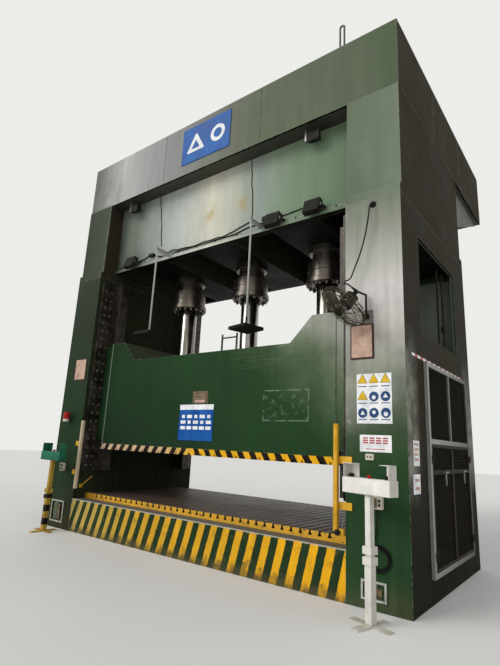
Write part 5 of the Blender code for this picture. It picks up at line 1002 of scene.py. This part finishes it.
def flat_shape(outline, depth, thick=0.0008):
    """An outline of x and height carried through its thickness."""
    outline = np.asarray(outline, float)
    rings = [np.column_stack([outline[:, 0], np.full(len(outline), FRONT_Y + d), outline[:, 1]])
             for d in (depth - thick, depth)]
    return loft(rings)


def disc_on(depth, x, z, radius):
    """Points of a circle round x, z."""
    t = np.linspace(0, 2 * math.pi, 32, endpoint=False)
    return flat_shape(np.column_stack([x + radius * np.cos(t), z + radius * np.sin(t)]), depth)


def triangle_on(depth, x, z, radius):
    """A triangle with its point up and its corners cut, between three directions a third of a turn apart."""
    t = np.radians([86, 94, 206, 214, 326, 334])
    return flat_shape(np.column_stack([x + radius * np.cos(t), z + radius * np.sin(t)]), depth)


SLOT = "white_plastic"
VINYL = {"cloud": 60, "runs": 0.03, "rough": (0.3, 0.45), "relief": 8, "height": 0.0001, "slot": SLOT}
sign_blue = coat("blue_sign_vinyl", ["#124a93", "#1b57a0", "#2a64a8"], cloud=300, runs=0.05, rough=(0.25, 0.4),
                 relief=8, height=0.0002, side="#274a78", slot=SLOT)
sign_white = coat("white_sign_vinyl", ["#dddfe0", "#e9eae9", "#f0f0ee"], **{**VINYL, "cloud": 120, "runs": 0.04})
sign_yellow = coat("yellow_sign_vinyl", ["#d0a91f", "#dcb83a"], **VINYL)
sign_navy = coat("dark_blue_sign_vinyl", ["#2b466f", "#38547d"], **VINYL)
sign_red = coat("red_sign_vinyl", ["#b0464e", "#bd5a60"], **VINYL)
sign_pink = coat("sun_bleached_red_board", ["#b08e7c", "#bf9f8c", "#c7ab99"], cloud=110, runs=0.1, rough=(0.4, 0.6),
                 relief=10, height=0.0002, slot=SLOT)
sign_edge = coat("dark_board_frame", ["#3a2723", "#4b342e"], cloud=70, runs=0.06, rough=(0.4, 0.6),
                 slot="dark_steel")
plate_brown = coat("tarnished_brass_plate", ["#4d4230", "#655742", "#7d6d50"], cloud=40, runs=0.1, metallic=0.6,
                   rough=(0.35, 0.55), relief=5, height=0.0002, slot="dark_steel")

THICK_PRINT, THIN_PRINT, HAIR = (0.0008, 0.0002), (0.0006, 0.0002), 0.0009
HOUSING_FACE, SLIDE_FACE = 0.0597, 0.2497
DISC_AT, TRIANGLE_AT = (0.19, 6.31), (-0.29, 6.27)
put("housing_board", [sheet_on(HOUSING_FACE, -0.60, 0.45, 5.97, 6.64, 0.012, 0.003)], sign_blue)
face = HOUSING_FACE - 0.0121
put("housing_board_shapes", [
    triangle_on(face, *TRIANGLE_AT, 0.21), disc_on(face, *DISC_AT, 0.15)], sign_white)
put("housing_board_fields", [
    disc_on(face - HAIR, *DISC_AT, 0.085), triangle_on(face - HAIR, -0.29, 6.262, 0.095)], sign_blue)
put("slide_board", [sheet_on(SLIDE_FACE, -0.354, 0.31, 1.50, 2.01, 0.006, 0.002)], sign_blue, "slide")
face = SLIDE_FACE - 0.0061
parts = [sheet_on(face, -0.352, 0.308, 1.935, 2.008, *THICK_PRINT)]
for k in range(5):
    x = -0.318 + k * 0.124
    parts += [sheet_on(face, x + cut, x + 0.098 - cut, z, z + 0.046, *THICK_PRINT)
              for z, cut in ((1.655, 0.0), (1.735, (0.0, 0.02)[k % 2]), (1.815, (0.02, 0.0)[k % 2]))]
put("slide_board_shapes", parts, sign_white, "slide")
put("slide_data_plate", [sheet_on(SLIDE_FACE, -0.114, 0.185, 2.02, 2.20, 0.003, 0.001)], plate_brown, "slide")
face = SLIDE_FACE - 0.0031
put("slide_data_plate_fields", [sheet_on(face, -0.06, 0.135, 2.04, 2.075, *THIN_PRINT),
                                sheet_on(face, -0.09, 0.16, 2.100, 2.104, 0.0006, 0.0001),
                                sheet_on(face, -0.09, 0.16, 2.140, 2.144, 0.0006, 0.0001)], sign_pink, "slide")

# %% Boards on the columns
COLUMN_FACE = -0.0003
for column, x_low, x_high, z_low, z_high in (("right", 2.496, 2.769, 2.437, 2.823),
                                             ("left", -2.835, -2.505, 2.44, 2.82)):
    put("column_" + column + "_board_frame", [sheet_on(COLUMN_FACE, x_low, x_high, z_low, z_high, 0.008, 0.002)],
        sign_edge)
    put("column_" + column + "_board_sheet", [sheet_on(COLUMN_FACE - 0.0082, x_low + 0.014, x_high - 0.022,
                                                       z_low + 0.020, z_high - 0.012, 0.0012, 0.0004)], sign_pink)
put("symbol_board", [sheet_on(COLUMN_FACE, 2.566, 2.950, 1.752, 2.275, 0.003, 0.001)], sign_white)
face = COLUMN_FACE - 0.0031
columns_x, rows_z = (2.632, 2.757, 2.884), (2.208, 2.032, 1.862)
warnings = [(x, rows_z[0]) for x in columns_x] + [(columns_x[0], rows_z[1])]
put("symbol_board_triangles", [triangle_on(face, x, z, 0.056) for x, z in warnings], sign_yellow)
spots = [(x, rows_z[1]) for x in columns_x[1:]] + [(x, rows_z[2]) for x in columns_x]
put("symbol_board_discs", [disc_on(face, x, z, 0.052) for x, z in spots], sign_navy)
put("symbol_board_triangle_rims", [triangle_on(face + 0.0004, x, z, 0.063) for x, z in warnings],
    plate_brown, slot="black_plastic")
put("symbol_board_disc_fields", [
    shape(face - HAIR, x, z + dz, size)
    for (x, z), (shape, dz, size) in zip(spots, (
        (disc_on, -0.010, 0.021), (triangle_on, 0.002, 0.028), (triangle_on, -0.004, 0.026),
        (disc_on, 0.006, 0.019), (disc_on, -0.012, 0.023)))], sign_white)
put("symbol_board_lines", [sheet_on(face, x - 0.048, x + 0.048, z - 0.073, z - 0.064, *THIN_PRINT)
                           for x in columns_x for z in rows_z], sign_navy)
put("place_board", [sheet_on(COLUMN_FACE, 2.597, 2.937, 1.467, 1.637, 0.003, 0.001)], sign_white)
parts = []
for k in range(4):
    x = 2.632 + k * 0.071
    parts += [sheet_on(face, x, x + 0.054, z, z + 0.015, *THIN_PRINT) for z in (1.550, 1.574, 1.598)]
parts.append(sheet_on(face, 2.66, 2.87, 1.492, 1.500, *THIN_PRINT))
put("place_board_shapes", parts, sign_red)

# %% [markdown]
# ## Sockets, lamps and small boxes on the columns
# Small electrical fittings sit on both columns. A box of moulded plastic is a lathe's
# cousin: a rectangle that is carried forward through a few rings, each drawn in a
# little, so that its rim is rounded. The beacon on the left column is two turned
# domes, red above and white below.

# %% Moulded boxes and the beacon
def moulded_box(x_low, x_high, z_low, z_high, depth, out):
    """Rounded rectangles: ring k stands at its own depth and is drawn in, which rounds the front rim."""
    t = np.linspace(0, 2 * math.pi, 40, endpoint=False)
    a, b = (x_high - x_low) / 2, (z_high - z_low) / 2
    corner = 0.25
    shape = np.column_stack([np.sign(v) * np.abs(v) ** corner * half
                             for v, half in ((np.cos(t), a), (np.sin(t), b))])
    middle = np.array([(x_low + x_high) / 2, (z_low + z_high) / 2])
    rings = []
    for share, draw in ((0.0, 0.0), (0.75, 0.0), (0.9, 0.02), (0.98, 0.07), (1.0, 0.14)):
        flat = middle + shape * (1 - draw)
        rings.append(np.column_stack([flat[:, 0], np.full(len(t), FRONT_Y + depth - out * share), flat[:, 1]]))
    return loft(rings)


put("small_socket", [moulded_box(2.662, 2.751, 1.383, 1.448, COLUMN_FACE, 0.022)], white_plastic)
put("small_socket_holes", [lathe([(0.0085, 0), (0.0085, 0.002), (0.006, 0.0025)],
                                 spot(x, COLUMN_FACE - 0.0215, 1.4155), 16, (0, -1, 0)) for x in (2.688, 2.722)],
    black_plastic)
put("left_outlet", [moulded_box(-2.860, -2.745, 0.905, 1.035, COLUMN_FACE, 0.045)], white_plastic)
put("left_outlet_flap", [moulded_box(-2.848, -2.757, z, z + 0.050, COLUMN_FACE - 0.0445, 0.008)
                         for z in (0.916, 0.974)], tank_grey, slot="white_plastic")
put("socket_box_flap", [moulded_box(2.742, 2.792, 0.935, 1.031, -0.0556, 0.008)], plate_brown)
put("socket_box_button", [lathe([(0.012, 0), (0.012, 0.006), (0.009, 0.009)], spot(2.818, -0.0556, z), 20,
                                (0, -1, 0)) for z in (0.962, 1.004)], black_plastic)
beacon = spot(-2.80, -0.075, 0)
put("beacon_arm", [bar(spot(-2.80, COLUMN_FACE, 1.745), spot(-2.80, -0.075, 1.745), 0.05, 0.02)], black_iron,
    slot="black_paint")
put("beacon_base", [lathe([(0.045, 1.722), (0.05, 1.726), (0.05, 1.766), (0.046, 1.770)], beacon, 40)],
    white_plastic)
put("beacon_dome", [lathe([(0.052, 1.7705), (0.055, 1.776), (0.055, 1.85), (0.047, 1.875), (0.027, 1.888),
                           (0.004, 1.890)], beacon, 40)], red_plastic)

# %% [markdown]
# ## Cables, conduits and brackets
# Two thin cables drop from the housing down the crown, and a pair runs along its foot
# between the lamps, clipped here and there, with the slack that such runs have. They
# are held at both ends and lie against the steel, so they are trim and not free cords:
# tubes along a path whose points wander a little.

# %% Runs of cable on the crown
PLATE_FACE = 0.3397
CONDUIT_Z = 4.556


def clipped(points, depth, radius, count=60, wobble=0.006):
    """A cable along points of x and height on a face; two sine waves of unlike lengths give it slack."""
    path = smooth_path([(x, 0, z) for x, z in points], count)
    run = np.linspace(0, 1, count)
    swing = wobble * (np.sin(run * 23.0) + 0.6 * np.sin(run * 57.0 + 1.0)) * np.sin(run * math.pi)
    slope = np.gradient(path, axis=0)
    slope = slope / np.linalg.norm(slope, axis=1, keepdims=True)
    across = np.column_stack([-slope[:, 2], np.zeros(count), slope[:, 0]])
    path += across * swing[:, None]
    path[:, 1] = FRONT_Y + depth - radius
    return tube(path, radius, 8)


put("crown_drop_cables", [
    clipped([(-1.385, 5.775), (-1.36, 5.60), (-1.305, 5.32), (-1.27, 5.02), (-1.235, 4.78)], PLATE_FACE, 0.006),
    clipped([(0.69, 5.775), (0.70, 5.60), (0.715, 5.35), (0.745, 5.05), (0.75, 4.80)], PLATE_FACE, 0.006)],
    rubber)
put("crown_foot_cables", [
    clipped([(-2.40, 4.500), (-2.30, 4.575), (-2.05, 4.640), (-1.75, 4.620), (-1.46, 4.650), (-1.20, 4.590),
             (-0.88, 4.585), (-0.23, 4.575), (0.40, 4.600), (0.73, 4.640), (1.08, 4.625), (1.27, 4.600)],
            PLATE_FACE, 0.010, 160, 0.008),
    clipped([(-1.35, 4.730), (-1.15, 4.640), (-0.80, 4.625), (-0.10, 4.610), (0.35, 4.640), (0.70, 4.720)],
            PLATE_FACE, 0.009, 120, 0.010),
    clipped([(1.15, 4.66), (1.40, 4.665), (1.70, 4.690)], PLATE_FACE, 0.008, 40, 0.003)], rubber)
conduit_ends = [spot(x, PLATE_FACE - 0.014, CONDUIT_Z) for x in (-2.05, 2.30)]
put("crown_conduit", [tube(np.linspace(*conduit_ends, 30), 0.012, 12)], aluminium)
CLIPS_X = (-1.62, -1.20, -0.78, -0.36, 0.06, 0.48, 0.90, 1.53, 2.15)
clip = slab((-0.012, PLATE_FACE - 0.030, CONDUIT_Z - 0.018), (0.012, PLATE_FACE, CONDUIT_Z + 0.018), 0.002)
put("conduit_clips", [copies(clip, np.outer(CLIPS_X, (1, 0, 0)))], black_iron)
put("junction_boxes", [moulded_box(-2.11, -2.00, 4.625, 4.70, PLATE_FACE, 0.07),
                       moulded_box(-1.50, -1.38, 4.625, 4.675, PLATE_FACE, 0.06),
                       moulded_box(0.98, 1.12, 4.63, 4.70, PLATE_FACE, 0.08)], black_plastic)
for name, x in (("left", -1.92), ("right", 1.86)):
    put("housing_lamp_strap_" + name, [
        slab((x - 0.135, 0.185, 5.60), (x - 0.105, 0.215, 5.7895), 0.002),
        slab((x - 0.1045, 0.185, 5.60), (x - 0.02, 0.215, 5.618), 0.002)], aluminium)
    put("housing_lamp_body_" + name, [
        loft([np.array([spot(x - 0.085 - g, d, 5.585 - g), spot(x + 0.085 + g, d, 5.585 - g),
                        spot(x + 0.085 + g, d, 5.705 + g * 0.5), spot(x - 0.085 - g, d, 5.705 + g * 0.5)])
              for d, g in ((0.285, -0.03), (0.270, -0.012), (0.225, 0.0), (0.180, 0.012), (0.170, 0.012))])],
        black_iron, slot="black_paint")
put("crown_corner_angle", [slab((2.330, 0.312, 4.56), (2.372, PLATE_FACE, 5.785), 0.003)],
    coat("green_enamel_corner_angle", ["#8b9082", "#a3a79a"], cloud=300, run_size=(40, 600), worn="#b2b0a6", edge=4,
         slot="pale_green_paint"))

# %% [markdown]
# ## Rail bolts, hatches and odd things at the foot
# The guide rails are held by socket screws whose round heads stand in a row, and they
# catch the light between column and slide. The two hatches have pale frames whose
# paint has gone chalky. A yellow block with a rod stands at the foot of the right light
# curtain, sheets in plastic covers are stuck beside the door, and a worn striped tape
# runs above the guard.

# %% Rail bolts and hatches
rise = np.outer(np.arange(1.02, 4.20, 0.145), (0, 0, 1))
HEAD = [(0.024, 0.0), (0.0255, 0.0015), (0.0255, 0.011), (0.0225, 0.014), (0.0115, 0.014), (0.0115, 0.006)]
for side, side_name in SIDES:
    put("rail_bolts_" + side_name, [copies(lathe(HEAD, at_side(side, 2.3788, depth, 0.0), 18, (-side, 0, 0)), rise)
                                    for depth in (0.135, 0.245, 2.465, 2.575)], oiled_steel)
chalky = coat("chalky_hatch_paint", ["#8f938a", "#a9ab9f", "#bdbcb0"], cloud=60, runs=0.1, worn="#5c5a4c", edge=4,
              rough=(0.6, 0.8), slot="pale_green_paint")
for name, x_low, x_high, z_low, z_high in (("right", 2.60, 2.86, 0.085, 0.265),
                                           ("left", -2.99, -2.63, 0.095, 0.435)):
    face, wide, thick = -0.0123, 0.022, 0.003
    put("hatch_frame_" + name, [sheet_on(face, x, x + wide, z_low, z_high, thick) for x in (x_low, x_high - wide)]
        + [sheet_on(face, x_low + wide + JOINT_GAP, x_high - wide - JOINT_GAP, z, z + wide, thick)
           for z in (z_low, z_high - wide)], chalky)
    middle = (x_low + x_high) / 2
    put("hatch_plate_" + name, [
        sheet_on(face, middle - 0.085, middle + 0.005, z_low + 0.045, z_high - 0.045, 0.003)],
        tank_grey)
    put("hatch_rust_" + name, [
        sheet_on(face, middle + 0.015, middle + 0.085, z_low + 0.05, z_high - 0.055, 0.002)],
        plate_brown, slot="hazard_paint")
    put("hatch_handle_" + name, [bar(spot(middle - 0.04, face - 0.012, z_high - 0.036), spot(
        middle + 0.04, face - 0.012, z_high - 0.036), 0.010, 0.008, (0, 1, 0), 0.002)], chalky)

# %% Pipes behind the side windows
for side, side_name in SIDES:
    put("window_pipes_" + side_name, [*[tube(np.linspace(at_side(side, 2.98, depth, 2.815),
        at_side(side, 2.98, depth, 3.985), 12), 0.013, 12) for depth in (1.71, 1.95)],
        lathe([(0.014, -0.04), (0.034, -0.036), (0.036, 0.0), (0.034, 0.036), (0.014, 0.04)],
        at_side(side, 2.98, 1.95, 3.17), 20)], black_iron)

# %% Things at the foot and beside the door
put("curtain_foot_block", [slab((2.375, -0.045, 0.6205), (2.432, 0.0, 0.69), 0.004)], yellow_powder)
put("curtain_foot_rod", [tube(np.array([spot(2.40, -0.022, 0.690), spot(2.412, -0.024, 0.735),
                                        spot(2.425, -0.026, 0.785)]), 0.006, 10)], aluminium)
put("curtain_clamp_knob", [lathe([(0.026, 0), (0.03, 0.004), (0.03, 0.03), (0.02, 0.042), (0.011, 0.046)],
                               spot(2.38, -0.0480, 0.655), 24, (-0.6, -0.8, 0))], black_plastic)
put("left_strut", [bar(spot(-2.424, 0.13, 0.69), spot(-2.424, 0.32, 0.84), 0.018, 0.018, (1, 0, 0), 0.002),
                   slab((-2.4337, 0.10, 0.66), (-2.428, 0.16, 0.72), 0.001)], yellow_with_painted_glare)
put("door_sheets", [slab((GUARD_X, 0.15, 1.35), (GUARD_X + 0.0015, 0.33, 1.60), 0.0004),
                    slab((GUARD_X, 0.12, 1.08), (GUARD_X + 0.0015, 0.33, 1.27), 0.0004)], sign_white)
put("door_sheet_fields", [slab((GUARD_X + 0.0016, 0.175, z), (GUARD_X + 0.0022, 0.305, z + 0.028), 0.0001)
                          for z in (1.40, 1.45, 1.50, 1.55, 1.12, 1.20)], sign_pink)
TAPE_FIELDS = 22
edges = np.linspace(0.20, 2.27, TAPE_FIELDS + 1)
for name, first, material in (("pale", 0, sign_white), ("red", 1, sign_red)):
    put("door_tape_" + name, [
        slab((GUARD_X, edges[k], 2.487), (GUARD_X + 0.001, edges[k + 1] - 0.0005, 2.518), 0.0003)
        for k in range(first, TAPE_FIELDS, 2)], material, slot="white_plastic")

# %% [markdown]
# ## Cord ends
# A cord never just stops. Where the fan's lead leaves the column it passes a rubber
# grommet and a tapered sleeve, and both ends of the spare cord have such a sleeve. A
# sleeve is a tube whose radius falls along it, with a few ribs.

# %% Sleeves and grommet
def sleeve(path, wide, narrow, steps=20):
    """A tube along the path: its radius falls evenly from wide to narrow, and five ribs stand on it."""
    path = even_path(path, 41)
    run = np.linspace(0, 1, len(path))
    ribs = 1 + 0.10 * np.maximum(np.sin(run * math.pi * 10), 0) * (run > 0.12)
    return tube(path, (wide + (narrow - wide) * run) * ribs, steps)


def start_of(path, length):
    """The first stretch of a path, up to a length."""
    along = np.concatenate([[0], np.cumsum(np.linalg.norm(np.diff(path, axis=0), axis=1))])
    wanted = np.linspace(0, length, 8)
    return np.stack([np.interp(wanted, along, path[:, k]) for k in range(3)], 1)


put("lead_grommet", [lathe([(0.0165, 0.026), (0.0355, 0.026), (0.0355, -0.0003), (0.040, -0.0006), (0.040, -0.005),
                            (0.034, -0.009), (0.0195, -0.009)], lead_path[0] + [0, -0.028, 0], 40, (0, 1, 0))],
    rubber)
put("lead_sleeve", [sleeve(start_of(lead_path, 0.075)[2:], 0.0150, 0.0086)], rubber)
put("lead_end_sleeve", [sleeve(start_of(lead_path[::-1], 0.045), 0.0135, 0.0086)], rubber)
put("spare_cord_sleeve", [sleeve(start_of(spare_path, 0.040), 0.0120, 0.0064)], rubber)

# %% [markdown]
# ## The fan's cage, and what holds the coil
# A drum fan's cage is welded from thin wire: spokes that follow the drum's outline and
# rings over them, dense enough to keep fingers out. The outline is a list of radii and
# heights; each spoke is a tube along it at its own angle, and each ring a hoop. The
# cage rides the fan's head. The coil of spare cord hangs on a bent rod and has a strap
# round it.

# %% Fan cage
OUTLINE = np.array([(0.062, 0.0755), (0.110, 0.0745), (0.150, 0.0715), (0.190, 0.0645), (0.228, 0.0500),
    (0.256, 0.0320), (0.270, 0.0150), (0.2745, -0.005), (0.271, -0.030), (0.258, -0.050), (0.235, -0.064),
    (0.200, -0.072), (0.150, -0.0755), (0.105, -0.0755), (0.0735, -0.0755)])
cage_wire = coat("brown_cage_wire", ["#3b3325", "#574b35", "#7a6d52"], cloud=60, runs=0.2, rough=(0.3, 0.5),
                 metallic=0.5, slot="dark_steel")
spokes = [tube(np.stack([fan_spot(r * math.cos(t), r * math.sin(t), h) for r, h in OUTLINE]), 0.0017, 5)
          for t in np.linspace(0, 2 * math.pi, 40, endpoint=False)]
rings = [hoop(fan_spot(0, 0, h), FAN_AIM, r, 0.0019, 56, 5) for r, h in OUTLINE[1::2]]
put("fan_cage_wires", spokes + rings, cage_wire, "fan_head")

# %% Hook and strap of the coil
HOOK_X, STRAP_Z = 2.785, 0.47
top = turns_path[(np.abs(turns_path[:, 0] - HOOK_X) < 0.02) & (turns_path[:, 2] > STRAP_Z)]
hook_z, hook_out = top[:, 2].min() - 0.0105, FRONT_Y - top[:, 1].min() + 0.012
hook_line = [spot(HOOK_X, depth, hook_z + rise) for depth, rise in (
    (0.004, 0.004), (-0.016, 0.0), (-hook_out, 0.0), (-hook_out - 0.008, 0.014), (-hook_out - 0.009, 0.034))]
put("coil_hook", [
    tube(smooth_path(hook_line, 24), 0.004, 10),
    lathe([(0.014, 0), (0.014, 0.003), (0.009, 0.006)], spot(HOOK_X, 0.0, hook_z + 0.004), 20, (0, -1, 0))],
    oiled_steel)
right = turns_path[(np.abs(turns_path[:, 2] - STRAP_Z) < 0.02) & (turns_path[:, 0] > HOOK_X)]
middle, half = (right.max(0) + right.min(0)) / 2, (right.max(0) - right.min(0)) / 2
angle = np.linspace(0, 2 * math.pi * 1.01, 40)
loop = np.column_stack([middle[0] + (half[0] + 0.0085) * np.cos(angle),
                        middle[1] + (half[1] + 0.0078) * np.sin(angle),
                        np.full(40, STRAP_Z)])
put("coil_strap", [copies(tube(loop, 0.0016, 6), [(0, 0, z) for z in (-0.004, 0.0, 0.004)])], black_plastic)
print("coil hook at", round(hook_z, 3), "strap half widths", np.round(half, 4))

# %% [markdown]
# ## On the deck
# The photograph doesn't show the power unit on top; it is finished plainly, as such
# presses carry it. Two motors drive pumps that draw from the tank and press into a
# header, and a branch goes from it to each cylinder. Pipes are bent cold, so their
# middle line is straight runs with a curve at each corner.

# %% Pipes
FLOOR = 5.8306
AXIS = FLOOR + 0.27
HEADER_DEPTH, HEADER_Z = 2.05, 6.06
MOTOR_X, PUMP_DEPTH, SUCTION = 1.85, 2.70, (3.14, 5.99)
FLANGE_FACE = 5.8702


def bent(points, bend, steps=9):
    """Straight runs, and at each corner b the curve (1 - t)^2 a + 2 t (1 - t) b + t^2 c, t from 0 to 1."""
    points = np.asarray(points, float)
    t = np.linspace(0, 1, steps)[:, None]
    line = [points[:1]]
    for before, corner, after in zip(points, points[1:], points[2:]):
        a = corner + (before - corner) / np.linalg.norm(before - corner) * bend
        c = corner + (after - corner) / np.linalg.norm(after - corner) * bend
        line.append((1 - t) ** 2 * a + 2 * t * (1 - t) * corner + t ** 2 * c)
    return np.vstack([*line, points[-1:]])


def flange(place, axis, radius):
    """A pipe flange with four bolts: a stepped lathe and four hex heads on its circle."""
    a, b, c = square_to(axis)
    bolts = [bolt(np.asarray(place, float) + radius * 0.74 * (math.cos(t) * a + math.sin(t) * b) + 0.022 * c, axis,
                  0.022, 0.012) for t in (0.8, 2.37, 3.94, 5.51)]
    return [lathe([(radius * 0.96, 0), (radius, 0.003), (radius, 0.019), (radius * 0.96, 0.022),
                   (radius * 0.5, 0.022)], place, 28, axis), *bolts]


def pipe(points, bend, radius):
    """A bent tube through points given as x, depth and height."""
    return tube(bent([spot(*point) for point in points], bend), radius, 16)


pipes = [pipe([(x, HEADER_DEPTH, HEADER_Z), (x, CYLINDER_DEPTH, HEADER_Z), (x, CYLINDER_DEPTH, 5.89)], 0.11, 0.034)
         for x in CYLINDERS.values()]
pipes += [pipe([(x, PUMP_DEPTH, AXIS + 0.12), (x, PUMP_DEPTH, 6.43), (x, HEADER_DEPTH, 6.43),
                (x, HEADER_DEPTH, HEADER_Z + 0.03)], 0.10, 0.030) for x in (-MOTOR_X, MOTOR_X)]
pipes += [pipe([(side * 1.15, *SUCTION), (side * 1.44, *SUCTION), (side * 1.44, 2.72, 5.99),
                (side * 1.78, 2.72, 5.99)], 0.10, 0.045) for side in (-1, 1)]
header_ends = [spot(x, HEADER_DEPTH, HEADER_Z) for x in (-1.93, 1.93)]
pipes.append(tube(np.linspace(*header_ends, 24), 0.045, 20))
pipes.append(pipe([(0.45, HEADER_DEPTH, HEADER_Z + 0.03), (0.45, HEADER_DEPTH, 6.25), (0.45, 3.05, 6.25)],
                  0.10, 0.030))
put("deck_pipes", pipes, coat("grey_pipe_enamel", ["#3c4340", "#4c534f", "#5d635d"], cloud=260, top="#66675e",
                              worn="#8b897e", edge=3, rough=(0.35, 0.55), slot="dark_steel"))
flanges = [part for x in CYLINDERS.values()
           for part in flange(spot(x, CYLINDER_DEPTH, FLANGE_FACE), UPRIGHT, 0.085)]
flanges += [part for side in (-1, 1)
            for part in flange(spot(side * MOTOR_X, PUMP_DEPTH, AXIS + 0.118), UPRIGHT, 0.06)
            + flange(spot(side * 1.1503, *SUCTION), (side, 0, 0), 0.085)
            + flange(spot(side * 1.905, HEADER_DEPTH, HEADER_Z), (side, 0, 0), 0.085)]
put("pipe_flanges", flanges, drum_steel)
put("header_stands", [
    slab((x - 0.03, HEADER_DEPTH - 0.05, FLOOR), (x + 0.03, HEADER_DEPTH + 0.05, HEADER_Z - 0.03), 0.004)
    for x in (-1.65, -1.1, -0.3, 0.3, 1.1, 1.65)], black_iron)

# %% Valve blocks, head bolts and the outside of the motors and tank
blocks, coils = [], []
for x in (-0.73, 0.73):
    blocks.append(slab((x - 0.15, HEADER_DEPTH - 0.09, HEADER_Z - 0.09),
                       (x + 0.15, HEADER_DEPTH + 0.09, HEADER_Z + 0.12), 0.006))
    coils += [lathe([(0.026, 0), (0.03, 0.004), (0.03, 0.085), (0.024, 0.092), (0.012, 0.094), (0.010, 0.112)],
                    spot(x + shift, HEADER_DEPTH - 0.0903, HEADER_Z + 0.05), 24, (0, -1, 0))
              for shift in (-0.10, 0.0, 0.10)]
put("valve_blocks", blocks, oiled_steel)
put("valve_coils", coils, black_plastic)
put("cylinder_head_bolts", [
    copies(bolt(spot(x, CYLINDER_DEPTH, FLANGE_FACE), UPRIGHT, 0.055, 0.034), ring_of(16, 0.298))
    for x in CYLINDERS.values()], oiled_steel, angle=30)
fins, cowls = [], []
for side in (-1, 1):
    axle = spot(side * MOTOR_X, 3.15, AXIS)
    for t in np.radians(np.arange(-30, 211, 9)):
        out = np.array([math.cos(t), 0, math.sin(t)])
        fins.append(bar(axle + out * 0.200 - [0, 0.24, 0], axle + out * 0.200 + [0, 0.235, 0], 0.024, 0.005, out,
                        0.0012))
    cowls.append(lathe([(0.142, 0.262), (0.222, 0.262), (0.226, 0.268), (0.226, 0.315), (0.20, 0.336),
                        (0.16, 0.338)], axle, 48, (0, 1, 0)))
    cowls += [hoop(axle + [0, 0.337, 0], (0, 1, 0), r, 0.0035, 40, 6) for r in (0.045, 0.075, 0.105, 0.135)]
    cowls.append(block(axle + [-0.075, -0.10, 0.205], axle + [0.075, 0.08, 0.300], 0.006))
put("motor_fins", fins, motor_blue)
put("motor_cowls", cowls, motor_blue)
LID = FLOOR + 0.6502
cover = spot(0.55, 3.62, LID)
put("tank_cover", [lathe([(0.215, 0), (0.22, 0.004), (0.22, 0.014), (0.214, 0.018)], cover, 48),
                   copies(bolt(cover + [0, 0, 0.018], (0, 0, 1), 0.024, 0.014), ring_of(12, 0.195)),
                   bar(cover + [-0.08, 0, 0.062], cover + [0.08, 0, 0.062], 0.014, 0.014, (0, 1, 0), 0.003),
                   *[bar(cover + [x, 0, 0.017], cover + [x, 0, 0.058], 0.012, 0.012, (0, 1, 0), 0.002)
                     for x in (-0.074, 0.074)]], tank_grey, angle=30)
put("tank_lugs", [hoop(spot(x, d, LID + 0.035), (0, 1, 0), 0.030, 0.008, 28, 8) for x in (-1.05, 1.05)
                  for d in (3.12, 4.12)], black_iron)
put("tank_level_gauge", [slab((0.86, 3.0305, 5.95), (0.90, 3.0445, 6.28), 0.004)], aluminium)
